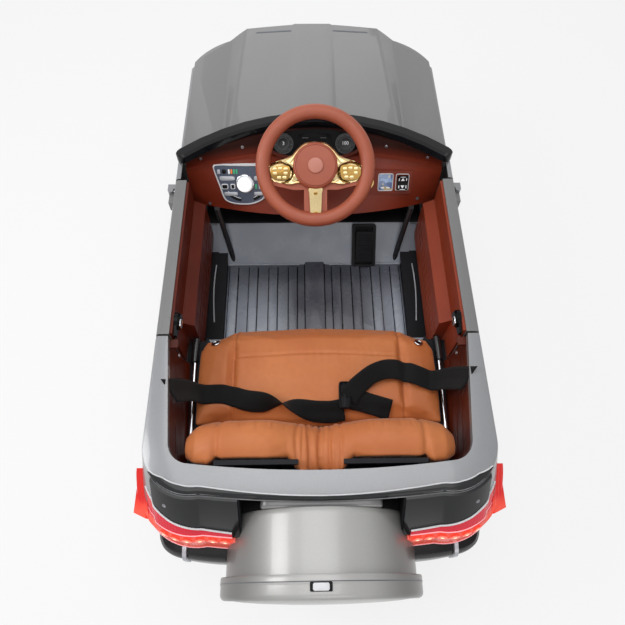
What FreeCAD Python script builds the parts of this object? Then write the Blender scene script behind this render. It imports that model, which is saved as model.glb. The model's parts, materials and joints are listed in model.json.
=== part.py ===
import FreeCAD, Part
import math
import os

# Electric ride-on car for one child: two body shells on a floor tub, hinged doors, a steered
# front axle, driven rear wheels and a round rear locker.
# Millimetres, +Z up, +Y forward; the origin lies on the floor below the middle of the car.

# Body outline: four levels, each with its half width, nose and tail
bottom_z = 112.0
belly_z = 265.0
shoulder_z = 330.0
belt_z = 402.0
belly_half = 313.0
bottom_tuck = 16.0
shoulder_tuck = 2.0
belt_tuck = 13.0
bottom_half = belly_half - bottom_tuck
shoulder_half = belly_half - shoulder_tuck
belt_half = belly_half - belt_tuck
bottom_nose_y = 622.0
belly_nose_y = 622.0
shoulder_nose_y = 622.0
belt_nose_y = 616.0
bottom_tail_y = -575.0
belly_tail_y = -592.0
shoulder_tail_y = -582.0
belt_tail_y = -529.0
nose_half = 175.0
nose_bow = 7.0
front_corner_length = 95.0
front_corner_bulge = 18.0
tail_half = 200.0
tail_bow = 11.0
rear_corner_length = 98.0
rear_corner_bulge = 31.0
body_wall = 5.0
belt_round = 7.0

# General clearances and cuts
overrun = 40.0
seat_gap = 0.3
run_clearance = 0.05
shut_gap = 4.0
moving_gap = 1.5

# Doors
door_front_y = 127.0
door_rear_y = -237.0
door_bottom_z = 186.0
door_depth = 24.0
door_inner_half = belt_half - door_depth
lining_depth = 28.0
lining_top_depth = 5.0
lining_margin = 3.0
armrest_z = 322.0
armrest_slope = 14.0
armrest_rear_y = -182.0
lining_groove = 2.0
lining_groove_width = 5.0
lining_groove_shares = (0.18, 0.36, 0.54)
hinge_reach = 5.0
hinge_radius = 6.0
hinge_pin_radius = 3.0
hinge_barrel = 26.0
hinge_lug = 7.0
hinge_strap = 30.0
hinge_strap_wall = 3.0
hinge_height_shares = (0.2, 0.76)

# Door latches
latch_y = -203.0
latch_drop = 17.0
latch_radius = 17.0
latch_depth = 11.0
latch_tongue = 32.0
latch_tongue_half = 6.0
latch_root_share = 0.8
keeper_length = 16.0

# Wheels and axles
wheel_radius = 125.0
tyre_width = 78.0
tyre_depth = 38.0
tyre_crown = 5.0
tread_count = 12
tread_depth = 5.0
tread_width = 9.0
tread_stagger_share = 0.5
rim_wall = 5.0
rim_dish = 24.0
rim_spokes = 5
rim_window_low_share = 0.5
rim_window_high_share = 0.68
hub_radius = 24.0
axle_radius = 6.0
axle_cap = 5.0
front_axle_y = 360.0
rear_axle_y = -380.0
arch_gap = 20.0
flare_width = 17.0
flare_reach = 13.0
flare_cover = 2.0
flare_half = belly_half + flare_reach
wheel_inner_half = flare_half - flare_cover - tyre_width

# Steering
steer_angle = 45.0
knuckle_angle = 18.0
kingpin_half = 185.0
kingpin_radius = 6.0
knuckle_radius = 14.0
knuckle_height = 40.0
arm_length = 60.0
arm_width = 16.0
arm_thick = 9.0
link_pin_radius = 4.0
link_pin_height = 20.0
tie_bar = 16.0
tie_bar_height = 10.0
tie_slack = 1.8
tie_wall = 5.0
wheel_centre_y = 121.0
wheel_centre_z = 450.0
wheel_tilt = 35.0
grip_radius = 109.0
grip_thick = 15.0
grip_sides = 16
column_radius = 8.0
crank_thick = 10.0
crank_stud = 27.0
crank_lift = 26.8
bearing_radius = 15.0
bearing_length = 46.0
beam_half = 158.0
beam_width = 28.0
beam_height = 26.0
beam_post_half = 12.0
beam_post_x = 70.0
lug_thick = 9.0

# Steering wheel face, in the plane of the wheel
pad_radius = 47.0
pad_height = 26.0
pad_round = 8.0
boss_radius = 16.0
boss_height = 2.5
spoke_half = 24.0
spoke_thick = 14.0
spoke_drop = 14.0
bezel_thick = 3.5
bezel_rim = 7.0
pod_inner = 46.0
pod_outer = 97.0
pod_top = 9.0
pod_bottom = 34.0
pod_tip = 20.0
key_length = 30.0
key_width = 15.0
key_height = 3.0
key_travel = 2.0
tongue_half = 11.0
tongue_end = 99.0

# Floor tub
floor_z = 150.0
deck_z = 240.0
front_deck_z = 232.0
tub_half = 236.0
tub_wall = 5.0
deck_rear_y = -505.0
seat_front_y = -176.0
riser_foot_y = -152.0
toe_foot_y = 60.0
toe_top_y = 142.0
front_deck_y = 540.0
front_deck_half = 148.0
rib_height = 6.0
rib_front_y = 54.0
rib_rear_y = -140.0
rib_width = 30.0
rib_gap = 9.0
rib_centre = 46.0
rib_round = 2.0
ribs_per_side = 4
hanger_half = 172.0
hanger_wall = 8.0
hanger_half_length = 34.0

# Side trims beside the floor and over the rear wheels
tread_z = 178.0
trim_wall = 4.0
trim_inner = 214.0
arch_cover_z = 262.0
arch_cover_inner = 230.0
trim_front_y = 132.0
arch_foot_y = -152.0
arch_top_y = -190.0
trim_rear_y = -470.0

# Bonnet and cowl
bonnet_inset = 6.0
bonnet_seat_rear_z = 378.0
bonnet_seat_front_z = 360.0
bonnet_seat_rear_y = 190.0
bonnet_wall = 4.0
bonnet_edge_rear_z = 394.0
bonnet_edge_front_z = 377.0
foot_rise = 10.0
plateau_rise = 36.0
crown_rise = 43.0
facet_rise = 45.5
dome_foot_half = 205.0
dome_rear_half = 192.0
dome_front_half = 169.0
facet_half = 50.0
facet_edge = 6.0
crease_round = 5.0
cowl_mid_y = 268.0
cowl_end_y = 184.0
cowl_inset = 14.0
cowl_half = belt_half - cowl_inset
cowl_width = 28.0
cowl_top_z = 449.0
cowl_end_z = 425.0
cowl_thick = 22.0
cowl_round = 5.0
cowl_steps = 6
cowl_end_shares = ((0.5, 0.87), (0.85, 0.53), (1.0, 0.2))

# Dashboard
dash_inset = 16.0
dash_half = belt_half - dash_inset
dash_low_z = 290.0
dash_ledge_z = 386.0
dash_step = 12.0
dash_low_mid_y = 116.0
dash_low_end_y = 158.0
dash_ledge_mid_y = 211.0
dash_ledge_end_y = 171.0
dash_top_mid_y = 244.0
dash_top_end_y = 174.0
dash_back = 26.0
dash_wall = 5.0
gauge_z = 404.0
gauge_tilt = 45.0
gauge_half = 104.0
gauge_half_height = 31.0
gauge_hood = 8.0
gauge_hood_height = 7.0
gauge_thick = 4.0
dial_x = 69.0
dial_radius = 25.0
dial_ring = 3.0
dial_height = 2.0
panel_boss = 26.0
media_x = -166.0
media_z = 349.0
media_tilt = 32.0
media_half = 54.0
media_slant = 26.0
media_round = 9.0
media_half_height = 37.0
media_thick = 5.0
media_bezel = 5.0
media_bezel_height = 2.5
knob_offset = 8.0
knob_drop = 6.0
knob_radius = 17.0
knob_height = 11.0
knob_stem = 5.0
display_x = 162.0
display_z = 345.0
display_half = 60.0
display_half_height = 27.0
display_thick = 5.0
display_corner = 7.0
tile_depth = 2.0
tile_half = 17.0
tile_half_height = 20.0
screen_x = 0.0
switch_x = 38.0
switch_half = 12.0
switch_half_height = 16.0
switch_height = 6.0
switch_pivot_radius = 2.5
switch_angle = 10.0
start_x = -42.0
start_radius = 11.0
start_ring = 4.0
start_ring_height = 3.0
start_height = 5.0
start_travel = 3.0

# Pedal on the toe board
pedal_x = 122.0
pedal_half = 20.0
pedal_length = 78.0
pedal_thick = 7.0
pedal_angle = 12.0
pedal_housing_half = 29.0
pedal_housing_length = 104.0
pedal_housing_height = 13.0
pedal_housing_wall = 5.0
pedal_pin_radius = 3.0
pedal_rib = 2.0
pedal_rib_width = 4.0
pedal_ribs = 5

# Seat, on the deck
seat_half = 243.0
seat_setback = 62.0
seat_mid_front_y = -158.0
seat_back_y = -378.0
seat_bulge = 14.0
seat_edge_z = 284.0
seat_crown = 12.0
seat_seam_x = 170.0
seat_seam_width = 10.0
seat_setback_shares = (0.0, 0.1, 0.15, 0.2, 0.45, 0.6, 1.0)
seat_crown_shares = (1.0, 0.8, -0.4, 0.75, 0.5, 0.4, 0.1)
back_front_y = -382.0
back_lean = 18.0
back_thick = 68.0
back_top_z = 416.0
back_valley = 30.0
back_round = 14.0
back_hump_x = 116.0
back_swell = 11.0
back_shares = (
    # place across, drop of the top, thickness
    (0.0, 1.0, 0.72),
    (0.3, 0.65, 0.86),
    (0.75, 0.05, 1.0),
    (1.0, 0.0, 1.0),
    (1.45, 0.1, 0.97),
    (1.85, 0.5, 0.84),
    (2.03, 1.15, 0.5),
)
back_plate_half = 70.0
back_plate_x = 108.0
back_plate_height = 92.0
back_plate_thick = 8.0

# Cabin opening in the rear shell, and the lining under it
rim_width = 37.0
opening_taper = 12.0
opening_front_half = belt_half - rim_width
opening_rear_half = opening_front_half - opening_taper
opening_corner_y = -440.0
opening_rear_y = -486.0
opening_rear_bow = 13.0
opening_corner = 30.0
opening_corner_bulge = 9.0
lip_depth = 14.0
lining_wall = 5.0
rear_lining_groove = 2.0
rear_lining_groove_width = 5.0
rear_lining_shares = (0.3, 0.6)

# Rear panel, lights and bumper
panel_thick = 4.0
panel_low_z = 322.0
panel_high_z = 394.0
panel_front_y = -452.0
panel_inset = 18.0
panel_half = belt_half - panel_inset
recess_half = 137.0
tray_wall = 3.0
tray_front_y = -508.0
light_thick = 10.0
light_low_z = 268.0
light_high_z = 318.0
light_inner_half = 112.0
light_corner_y = -535.0
light_tip_y = -470.0
light_tip_z = 356.0
bumper_low_z = 124.0
bumper_mid_low_z = 146.0
bumper_mid_high_z = 226.0
bumper_high_z = 254.0
bumper_reach = 18.0
bumper_edge_reach = 5.0
front_bumper_extra = 36.0
rear_bumper_front_y = -546.0
front_bumper_rear_y = 527.0
intake_half = 150.0
intake_low_z = 150.0
intake_high_z = 196.0
intake_depth = 12.0

# Spare wheel locker on the tail
drum_radius = 160.0
drum_z = 234.0
drum_front_y = -546.0
drum_back_y = -650.0
drum_wall = 4.0
drum_round = 16.0
drum_boss_half = 101.0
drum_boss_face_y = -530.0
drum_boss_round = 12.0
drum_boss_low_z = 326.0
drum_boss_high_z = 390.0
drum_neck_high_z = 350.0
drum_gap = 3.0
lid_radius = 177.0
lid_back_y = -676.0
lid_wall = 4.0
lid_lap = 9.0
lid_round = 9.0
lid_dish = 5.0
lid_dish_radius = 132.0
lid_hinge_half = 26.0
lid_hinge_radius = 6.0
lid_pin_radius = 3.0

# Nose
grille_half = 146.0
grille_low_z = 268.0
grille_high_z = 346.0
grille_depth = 16.0
grille_frame = 10.0
grille_bars = 4
grille_bar = 8.0
headlight_x = 226.0
headlight_z = 312.0
headlight_radius = 40.0
headlight_bezel = 6.0
headlight_front_y = 606.0
headlight_depth = 62.0
headlight_dome = 9.0

# Drive and electrics
gearbox_radius = 44.0
gearbox_width = 40.0
gearbox_half = 210.0
motor_radius = 19.0
motor_length = 62.0
battery_half = 75.0
battery_rear_y = 400.0
battery_length = 96.0
battery_height = 98.0
battery_lid = 6.0
battery_post_radius = 6.0
battery_post_height = 6.0
control_x = 96.0
control_y = 320.0
control_half = 34.0
control_length = 70.0
control_height = 32.0

# Tubes in the cabin
stay_radius = 6.5
stay_top_x = 228.0
stay_top_y = 140.0
stay_foot_x = 204.0
stay_foot_y = 86.0
seat_stay_inset = 10.0
seat_stay_x = opening_front_half - seat_stay_inset
seat_stay_rear_x = 246.5
seat_stay_radius = 4.0
seat_sleeve_radius = 7.0
seat_stay_front_y = -189.0
seat_sleeve_rear_y = -240.0
seat_stay_rear_y = -432.0

# Lap belt, lying on the seat
belt_width = 38.0
belt_thick = 2.0
belt_lift = 2.0
belt_wall_gap = 11.0
belt_wall_half = opening_front_half - belt_wall_gap
belt_wall_y = -296.0
belt_wall_z = 362.0
belt_sway = 44.0
belt_left_shares = (
    (-1.0, 0.0, 1.0),
    (-0.88, -0.1, 0.28),
    (-0.72, 0.05, 0.02),
    (-0.46, 0.8, 0.16),
    (-0.3, 0.7, 0.0),
    (-0.05, 1.0, 0.12),
    (0.134, 0.8, 0.0),
)
belt_right_shares = (
    (1.0, 0.0, 1.0),
    (0.88, -0.2, 0.4),
    (0.66, -0.8, 0.32),
    (0.44, -0.85, 0.26),
    (0.23, -0.55, 0.16),
    (0.23, -0.1, 0.08),
)
buckle_x = 58.0
buckle_y = -326.0
buckle_half = 20.0
buckle_half_length = 30.0
buckle_thick = 14.0
buckle_lift = 10.7

# Helpers
span = flare_half + overrun
far = -lid_back_y + overrun
high = wheel_centre_z + grip_radius + overrun
origin = FreeCAD.Vector(0, 0, 0)


def vec(x, y, z):
    return FreeCAD.Vector(x, y, z)


def flip(point):
    return vec(-point.x, point.y, point.z)


def block(x_low, x_high, y_low, y_high, z_low, z_high):
    return Part.makeBox(x_high - x_low, y_high - y_low, z_high - z_low, vec(x_low, y_low, z_low))


def rod(radius, start, end):
    along = end - start
    return Part.makeCylinder(radius, along.Length, start, along)


def wire(*runs):
    # a run of two points is a line, a run of three is an arc
    edges = []
    for run in runs:
        curve = Part.LineSegment(*run) if len(run) == 2 else Part.Arc(*run)
        edges.append(curve.toShape())
    return Part.Wire(edges)


def prism(outline, reach):
    return Part.Face(outline).extrude(reach)


def side_prism(points, x_low, x_high):
    # outline given as (y, z), carried across the car
    corners = [vec(x_low, y, z) for y, z in points]
    return prism(Part.makePolygon(corners + corners[:1]), vec(x_high - x_low, 0, 0))


def end_prism(points, y_low, y_high):
    # outline given as (x, z), carried along the car
    corners = [vec(x, y_low, z) for x, z in points]
    return prism(Part.makePolygon(corners + corners[:1]), vec(0, y_high - y_low, 0))


def folded(points, thick):
    # closed outline of a sheet whose upper side follows the points, with mitred folds
    lower = []
    for index, (y, z) in enumerate(points):
        bends = []
        for first in (index - 1, index):
            if 0 <= first < len(points) - 1:
                run_y = points[first + 1][0] - points[first][0]
                run_z = points[first + 1][1] - points[first][1]
                length = math.hypot(run_y, run_z)
                bends.append((run_z / length, -run_y / length))
        sum_y = sum(bend[0] for bend in bends) / len(bends)
        sum_z = sum(bend[1] for bend in bends) / len(bends)
        stretch = sum_y * sum_y + sum_z * sum_z
        lower.append((y + thick * sum_y / stretch, z + thick * sum_z / stretch))
    return list(points) + lower[::-1]


def both_sides(rows):
    # table rows for one side, repeated mirrored on the other
    return [(-row[0],) + tuple(row[1:]) for row in rows[:0:-1]] + list(rows)


def mirrored(shape):
    return shape.mirror(origin, vec(1, 0, 0))


def pair(shape):
    return Part.makeCompound([shape, mirrored(shape)])


def placed(shape, tilt, place):
    # turns a piece drawn flat about the cross axis, then moves it
    moved = shape.copy()
    moved.rotate(origin, vec(1, 0, 0), tilt)
    moved.translate(place)
    return moved


def turned_across(points, centre):
    # profile given as (x, radius), turned about the cross axis through the centre
    corners = [vec(x, centre.y, centre.z + radius) for x, radius in points]
    return Part.Face(Part.makePolygon(corners + corners[:1])).revolve(centre, vec(1, 0, 0), 360)


# Body volume: a ruled loft through the four levels, with the belt edge turned over in two bevels
def belt_levels():
    share = (belt_z - belt_round - shoulder_z) / (belt_z - shoulder_z)
    half = shoulder_half + share * (belt_half - shoulder_half)
    nose = shoulder_nose_y + share * (belt_nose_y - shoulder_nose_y)
    tail = shoulder_tail_y + share * (belt_tail_y - shoulder_tail_y)
    turn = belt_round * (1 - math.cos(math.radians(45)))
    levels = []
    for drop, inset in ((belt_round, 0), (turn, turn), (0, belt_round)):
        levels.append((belt_z - drop, half - inset, nose - inset, tail + inset))
    return levels


body_levels = [
    (bottom_z, bottom_half, bottom_nose_y, bottom_tail_y),
    (belly_z, belly_half, belly_nose_y, belly_tail_y),
    (shoulder_z, shoulder_half, shoulder_nose_y, shoulder_tail_y),
] + belt_levels()


def bulged(start, end, bulge):
    # middle point of a corner arc, pushed away from the middle of the car
    middle = (start + end) / 2
    chord = end - start
    normal = vec(chord.y, -chord.x, 0).normalize()
    side = 1 if normal.dot(middle) > 0 else -1
    return middle + normal * (bulge * side)


def plan_wire(z, half, nose, tail):
    nose_side = vec(nose_half, nose - nose_bow, z)
    front_side = vec(half, nose - front_corner_length, z)
    rear_side = vec(half, tail + rear_corner_length, z)
    tail_side = vec(tail_half, tail + tail_bow, z)
    front_mid = bulged(nose_side, front_side, front_corner_bulge)
    rear_mid = bulged(rear_side, tail_side, rear_corner_bulge)
    return wire(
        (flip(nose_side), vec(0, nose, z), nose_side),
        (nose_side, front_mid, front_side),
        (front_side, rear_side),
        (rear_side, rear_mid, tail_side),
        (tail_side, vec(0, tail, z), flip(tail_side)),
        (flip(tail_side), flip(rear_mid), flip(rear_side)),
        (flip(rear_side), flip(front_side)),
        (flip(front_side), flip(front_mid), flip(nose_side)),
    )


def body_wires(inset):
    return [plan_wire(z, half - inset, nose - inset, tail + inset)
            for z, half, nose, tail in body_levels]


def body_solid(inset):
    return Part.makeLoft(body_wires(inset), True, True)


def body_at(z):
    # half width, nose and tail of the body at a height between the levels
    for lower, upper in zip(body_levels, body_levels[1:]):
        if z <= upper[0]:
            break
    share = (z - lower[0]) / (upper[0] - lower[0])
    return [low + share * (top - low) for low, top in zip(lower[1:], upper[1:])]


def open_cavity():
    # inside of the body, open above and below
    wires = body_wires(body_wall)
    below = prism(wires[0], vec(0, 0, -overrun))
    above = prism(wires[-1], vec(0, 0, overrun))
    return body_solid(body_wall).fuse([below, above])


body = body_solid(0)
cavity = open_cavity()
inner_body = body_solid(body_wall)
arch_radius = wheel_radius + arch_gap
front_hub = vec(0, front_axle_y, wheel_radius)
rear_hub = vec(0, rear_axle_y, wheel_radius)
hinge_x = belly_half + hinge_reach
hinge_zs = [door_bottom_z + share * (belt_z - door_bottom_z) for share in hinge_height_shares]


def slab(y_low, y_high):
    return block(-span, span, y_low, y_high, 0, high)


def arch_cut(hub):
    return rod(arch_radius, hub - vec(span, 0, 0), hub + vec(span, 0, 0))


def arch_flares(hub):
    profile = (
        (bottom_half - body_wall, arch_radius),
        (flare_half, arch_radius),
        (flare_half, arch_radius + flare_width / 2),
        (belly_half, arch_radius + flare_width),
        (bottom_half - body_wall, arch_radius + flare_width),
    )
    ring = turned_across(profile, hub)
    ring = ring.cut([cavity, block(-span, span, -far, far, -high, bottom_z)])
    return [ring, mirrored(ring)]


def hinge_lugs():
    # fixed half of a door hinge: two lugs and the pin between them, at each height
    pieces = []
    root_y = door_front_y + shut_gap
    for z in hinge_zs:
        for low in (z - hinge_barrel / 2 - hinge_lug, z + hinge_barrel / 2):
            neck = block(bottom_half - body_wall, hinge_x + hinge_radius,
                         root_y, root_y + 2 * hinge_radius, low, low + hinge_lug)
            link = block(hinge_x - hinge_radius, hinge_x + hinge_radius,
                         door_front_y, root_y, low, low + hinge_lug)
            eye = rod(hinge_radius, vec(hinge_x, door_front_y, low),
                      vec(hinge_x, door_front_y, low + hinge_lug))
            pieces.append(neck.cut(cavity).fuse([link, eye]))
        pieces.append(rod(hinge_pin_radius, vec(hinge_x, door_front_y, z - hinge_barrel / 2),
                          vec(hinge_x, door_front_y, z + hinge_barrel / 2)))
    return pieces


def seat_line_z(y):
    # height of the line on which the bonnet sits
    share = (y - bonnet_seat_rear_y) / (shoulder_nose_y - bonnet_seat_rear_y)
    return bonnet_seat_rear_z + share * (bonnet_seat_front_z - bonnet_seat_rear_z)


def above_seat_line(y_low):
    y_high = shoulder_nose_y + overrun
    points = ((y_low, seat_line_z(y_low)), (y_high, seat_line_z(y_high)), (y_high, high), (y_low, high))
    return side_prism(points, -span, span)


def headlight_holes():
    holes = []
    for x in (-headlight_x, headlight_x):
        start = vec(x, headlight_front_y - headlight_depth - overrun, headlight_z)
        holes.append(rod(headlight_radius + seat_gap, start, vec(x, far, headlight_z)))
    return holes


def make_front_shell():
    shell = body.cut(cavity).common(slab(door_front_y + shut_gap, far))
    grille_hole = block(-grille_half, grille_half, belt_nose_y - overrun, far, grille_low_z, grille_high_z)
    shell = shell.cut([above_seat_line(cowl_end_y), arch_cut(front_hub), grille_hole] + headlight_holes())
    lugs = hinge_lugs()
    return shell.fuse(arch_flares(front_hub) + lugs + [mirrored(lug) for lug in lugs]).removeSplitter()


# Cabin opening and drum recess, shared by the rear pieces
def cabin_wire(grow, z):
    front = vec(opening_front_half + grow, door_rear_y + overrun, z)
    side = vec(opening_rear_half + grow, opening_corner_y, z)
    back = vec(opening_rear_half - opening_corner, opening_rear_y + opening_rear_bow - grow, z)
    turn = bulged(side, back, opening_corner_bulge)
    return wire(
        (flip(front), front),
        (front, side),
        (side, turn, back),
        (back, vec(0, opening_rear_y - grow, z), flip(back)),
        (flip(back), flip(turn), flip(side)),
        (flip(side), flip(front)),
    )


def drum_cut(gap):
    start = vec(0, drum_front_y + gap, drum_z)
    return rod(drum_radius + gap, start, vec(0, -far, drum_z))


def recess_cut(gap):
    # window in the tail for the spare wheel's carrier
    return block(-recess_half - gap, recess_half + gap, -far, tray_front_y + gap,
                 panel_low_z - gap, panel_high_z + gap)


def make_rear_tray():
    # black pocket that closes the window, open towards the tail
    pocket = block(-recess_half + tray_wall, recess_half - tray_wall, -far, tray_front_y - tray_wall,
                   panel_low_z + tray_wall, high)
    return body.common(recess_cut(-seat_gap)).cut([pocket, drum_cut(drum_gap)]).removeSplitter()


def make_rear_shell():
    floor = prism(body_wires(body_wall)[0], vec(0, 0, -overrun))
    inside = inner_body.common(block(-span, span, -far, far, 0, belt_z - body_wall)).fuse(floor)
    lip = prism(cabin_wire(body_wall, belt_z - lip_depth), vec(0, 0, lip_depth))
    shell = body.cut(inside.cut(lip)).common(slab(-far, door_rear_y - shut_gap))
    opening = prism(cabin_wire(0, belt_z - lip_depth - overrun), vec(0, 0, lip_depth + 2 * overrun))
    shell = shell.cut([opening, arch_cut(rear_hub), drum_cut(drum_gap), recess_cut(0)])
    return shell.fuse(arch_flares(rear_hub)).removeSplitter()


def make_rear_lining():
    # wall that hangs below the lip of the opening, with two grooves and the door keepers
    top = belt_z - lip_depth
    outer = prism(cabin_wire(lining_wall, arch_cover_z), vec(0, 0, top - arch_cover_z))
    hollow = prism(cabin_wire(0, arch_cover_z - overrun), vec(0, 0, top - arch_cover_z + 2 * overrun))
    lining = outer.cut(hollow).common(slab(-far, door_rear_y - shut_gap))
    for share in rear_lining_shares:
        z = arch_cover_z + share * (top - arch_cover_z)
        groove = prism(cabin_wire(rear_lining_groove, z), vec(0, 0, rear_lining_groove_width))
        lining = lining.cut(groove)
    front_y = door_rear_y - shut_gap
    keeper_z = belt_z - latch_drop
    keeper = block(opening_rear_half - latch_depth / 2, opening_front_half + lining_wall / 2,
                   front_y - keeper_length, front_y, keeper_z - latch_tongue_half, keeper_z)
    keeper = keeper.cut(outer.cut(hollow))
    keeper = keeper.common(block(0, opening_front_half, -far, far, 0, high))
    return lining.fuse([keeper, mirrored(keeper)]).removeSplitter()


def flare_room(gap):
    # space of the rear wheel arch with its flare
    radius = arch_radius + flare_width + gap
    return rod(radius, rear_hub - vec(span, 0, 0), rear_hub + vec(span, 0, 0))


# Doors, drawn on the right and mirrored
def make_door():
    panel = body.common(block(door_inner_half, span, door_rear_y, door_front_y, door_bottom_z, high))
    hollow = inner_body.common(block(0, span, door_rear_y + body_wall, door_front_y - body_wall,
                                     door_bottom_z + body_wall, belt_z - body_wall))
    door = panel.cut(hollow)
    for z in hinge_zs:
        low = z - hinge_barrel / 2 + seat_gap
        top = z + hinge_barrel / 2 - seat_gap
        strap = block(belt_half, hinge_x + hinge_strap_wall, door_front_y - hinge_strap, door_front_y,
                      low, top)
        barrel = rod(hinge_radius, vec(hinge_x, door_front_y, low), vec(hinge_x, door_front_y, top))
        bore = rod(hinge_pin_radius + run_clearance, vec(hinge_x, door_front_y, 0),
                   vec(hinge_x, door_front_y, high))
        door = door.fuse([strap.cut(inner_body), barrel]).cut(bore)
    return door.cut(flare_room(shut_gap)).removeSplitter()


def make_door_lining():
    top = belt_z - lining_margin
    low = door_bottom_z + lining_margin
    upper_x = door_inner_half - lining_top_depth
    inner_x = door_inner_half - lining_depth
    profile = (
        (door_inner_half, top),
        (upper_x, top),
        (upper_x, armrest_z + armrest_slope),
        (inner_x, armrest_z),
        (inner_x, low + armrest_slope),
        (inner_x + armrest_slope, low),
        (door_inner_half, low),
    )
    lining = end_prism(profile, door_rear_y + lining_margin, door_front_y - lining_margin)
    lining = lining.cut(block(0, upper_x, -far, armrest_rear_y, 0, high))
    for share in lining_groove_shares:
        z = low + armrest_slope + share * (armrest_z - low)
        lining = lining.cut(block(inner_x - overrun, inner_x + lining_groove, -far, far,
                                  z, z + lining_groove_width))
    return lining


def make_door_latch():
    face_x = door_inner_half - lining_top_depth - seat_gap
    z = belt_z - latch_drop
    disc = rod(latch_radius, vec(face_x, latch_y, z), vec(face_x - latch_depth, latch_y, z))
    disc = disc.makeChamfer(latch_depth / 3, [edge for edge in disc.Edges
                                              if edge.BoundBox.XMax < face_x - latch_depth / 2])
    end_y = latch_y - latch_tongue
    root = latch_root_share * latch_radius
    points = ((latch_y, z + root), (end_y, z + latch_tongue_half), (end_y, z - latch_tongue_half),
              (latch_y, z - root))
    tongue = side_prism(points, face_x - latch_depth / 2, face_x)
    return disc.fuse(tongue).removeSplitter()


# Floor tub
def make_floor_tub():
    path = (
        (deck_rear_y, deck_z),
        (seat_front_y, deck_z),
        (riser_foot_y, floor_z),
        (toe_foot_y, floor_z),
        (toe_top_y, front_deck_z),
        (front_deck_y, front_deck_z),
    )
    tub = side_prism(folded(path, tub_wall), -tub_half, tub_half)
    for side in (-1, 1):
        low, top = sorted((side * front_deck_half, side * span))
        tub = tub.cut(block(low, top, toe_top_y + tub_wall, far, 0, high))
    sill_low_y = door_rear_y - shut_gap
    sill_high_y = door_front_y + shut_gap
    rail_top = tread_z - trim_wall
    skin = body.cut(cavity).common(block(0, span, sill_low_y, sill_high_y, 0, rail_top))
    cap = inner_body.common(block(tub_half - tub_wall, span, sill_low_y, sill_high_y,
                                  rail_top - tub_wall, rail_top))
    web = block(tub_half - tub_wall, tub_half, sill_low_y, sill_high_y, bottom_z, rail_top)
    rail = skin.fuse([cap, web]).cut(flare_room(seat_gap))
    hanger = side_prism(((rear_axle_y - hanger_half_length, deck_z - tub_wall),
                         (rear_axle_y + hanger_half_length, deck_z - tub_wall),
                         (rear_axle_y + hanger_half_length / 2, wheel_radius - 2 * axle_radius),
                         (rear_axle_y - hanger_half_length / 2, wheel_radius - 2 * axle_radius)),
                        hanger_half, hanger_half + hanger_wall)
    hanger = hanger.cut(rod(axle_radius + run_clearance, rear_hub, rear_hub + vec(span, 0, 0)))
    tub = tub.fuse([rail, mirrored(rail), hanger, mirrored(hanger)] + floor_ribs())
    collar = rod(bearing_radius, column_point(bearing_start), column_point(bearing_start + bearing_length))
    bore = rod(column_radius + run_clearance, column_point(0), column_point(column_length))
    return tub.fuse(collar).cut(bore).removeSplitter()


def floor_ribs():
    ribs = []
    edge = rib_centre / 2
    places = [(-edge, edge)]
    for index in range(ribs_per_side):
        start = edge + rib_gap + index * (rib_width + rib_gap)
        places.append((start, start + rib_width))
        places.append((-start - rib_width, -start))
    for low, top in places:
        rib = block(low, top, rib_rear_y, rib_front_y, floor_z, floor_z + rib_height)
        upper = [edge for edge in rib.Edges if edge.BoundBox.ZMin > floor_z + rib_height / 2]
        ribs.append(rib.makeFillet(rib_round, upper))
    return ribs


def make_side_trims():
    path = (
        (trim_rear_y, arch_cover_z),
        (arch_top_y, arch_cover_z),
        (arch_foot_y, tread_z),
        (trim_front_y, tread_z),
    )
    sheet = folded(path, trim_wall)
    front = side_prism(sheet, trim_inner, belly_half)
    front = front.cut(block(0, arch_cover_inner, -far, seat_front_y, 0, high))
    kerb = block(trim_inner, trim_inner + trim_wall, riser_foot_y, toe_foot_y, floor_z, tread_z - trim_wall)
    wall = block(arch_cover_inner, arch_cover_inner + trim_wall, trim_rear_y, seat_front_y - tub_wall,
                 deck_z, arch_cover_z - trim_wall)
    trim = front.fuse([kerb, wall]).common(cavity).removeSplitter()
    trim = trim.cut([seat_riser_cut(), toe_board_cut()] + door_rooms())
    return pair(trim.removeSplitter())


def door_rooms():
    # space that the door and its armrest sweep through above the tread
    plate_x = door_inner_half - lining_top_depth - moving_gap
    armrest_x = door_inner_half - lining_depth - moving_gap
    swing = math.hypot(hinge_x - armrest_x, door_front_y - armrest_rear_y)
    armrest_y = door_front_y - swing - moving_gap
    return [block(plate_x, span, door_rear_y - shut_gap, far, tread_z, high),
            block(armrest_x, span, armrest_y, far, tread_z, high)]


def toe_board_cut():
    # room for the toe board and what lies ahead of it
    points = ((toe_foot_y, floor_z), (toe_top_y, front_deck_z), (far, front_deck_z), (far, floor_z))
    return side_prism(points, -tub_half, tub_half)


def seat_riser_cut():
    # room for the tub's riser where the trim climbs beside the seat
    points = ((deck_rear_y, deck_z), (seat_front_y, deck_z), (riser_foot_y, floor_z), (deck_rear_y, floor_z))
    return side_prism(points, -tub_half, tub_half)


# Bonnet and cowl trim
def bonnet_wire(inset, z):
    half = belt_half - bonnet_inset - inset
    nose = belt_nose_y - inset
    nose_side = vec(nose_half, nose - nose_bow, z)
    front_side = vec(half, nose - front_corner_length, z)
    rear_side = vec(half, cowl_end_y + inset, z)
    turn = bulged(nose_side, front_side, front_corner_bulge)
    return wire(
        (flip(nose_side), vec(0, nose, z), nose_side),
        (nose_side, turn, front_side),
        (front_side, rear_side),
        (rear_side, vec(0, cowl_mid_y + inset, z), flip(rear_side)),
        (flip(rear_side), flip(front_side)),
        (flip(front_side), flip(turn), flip(nose_side)),
    )


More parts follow.
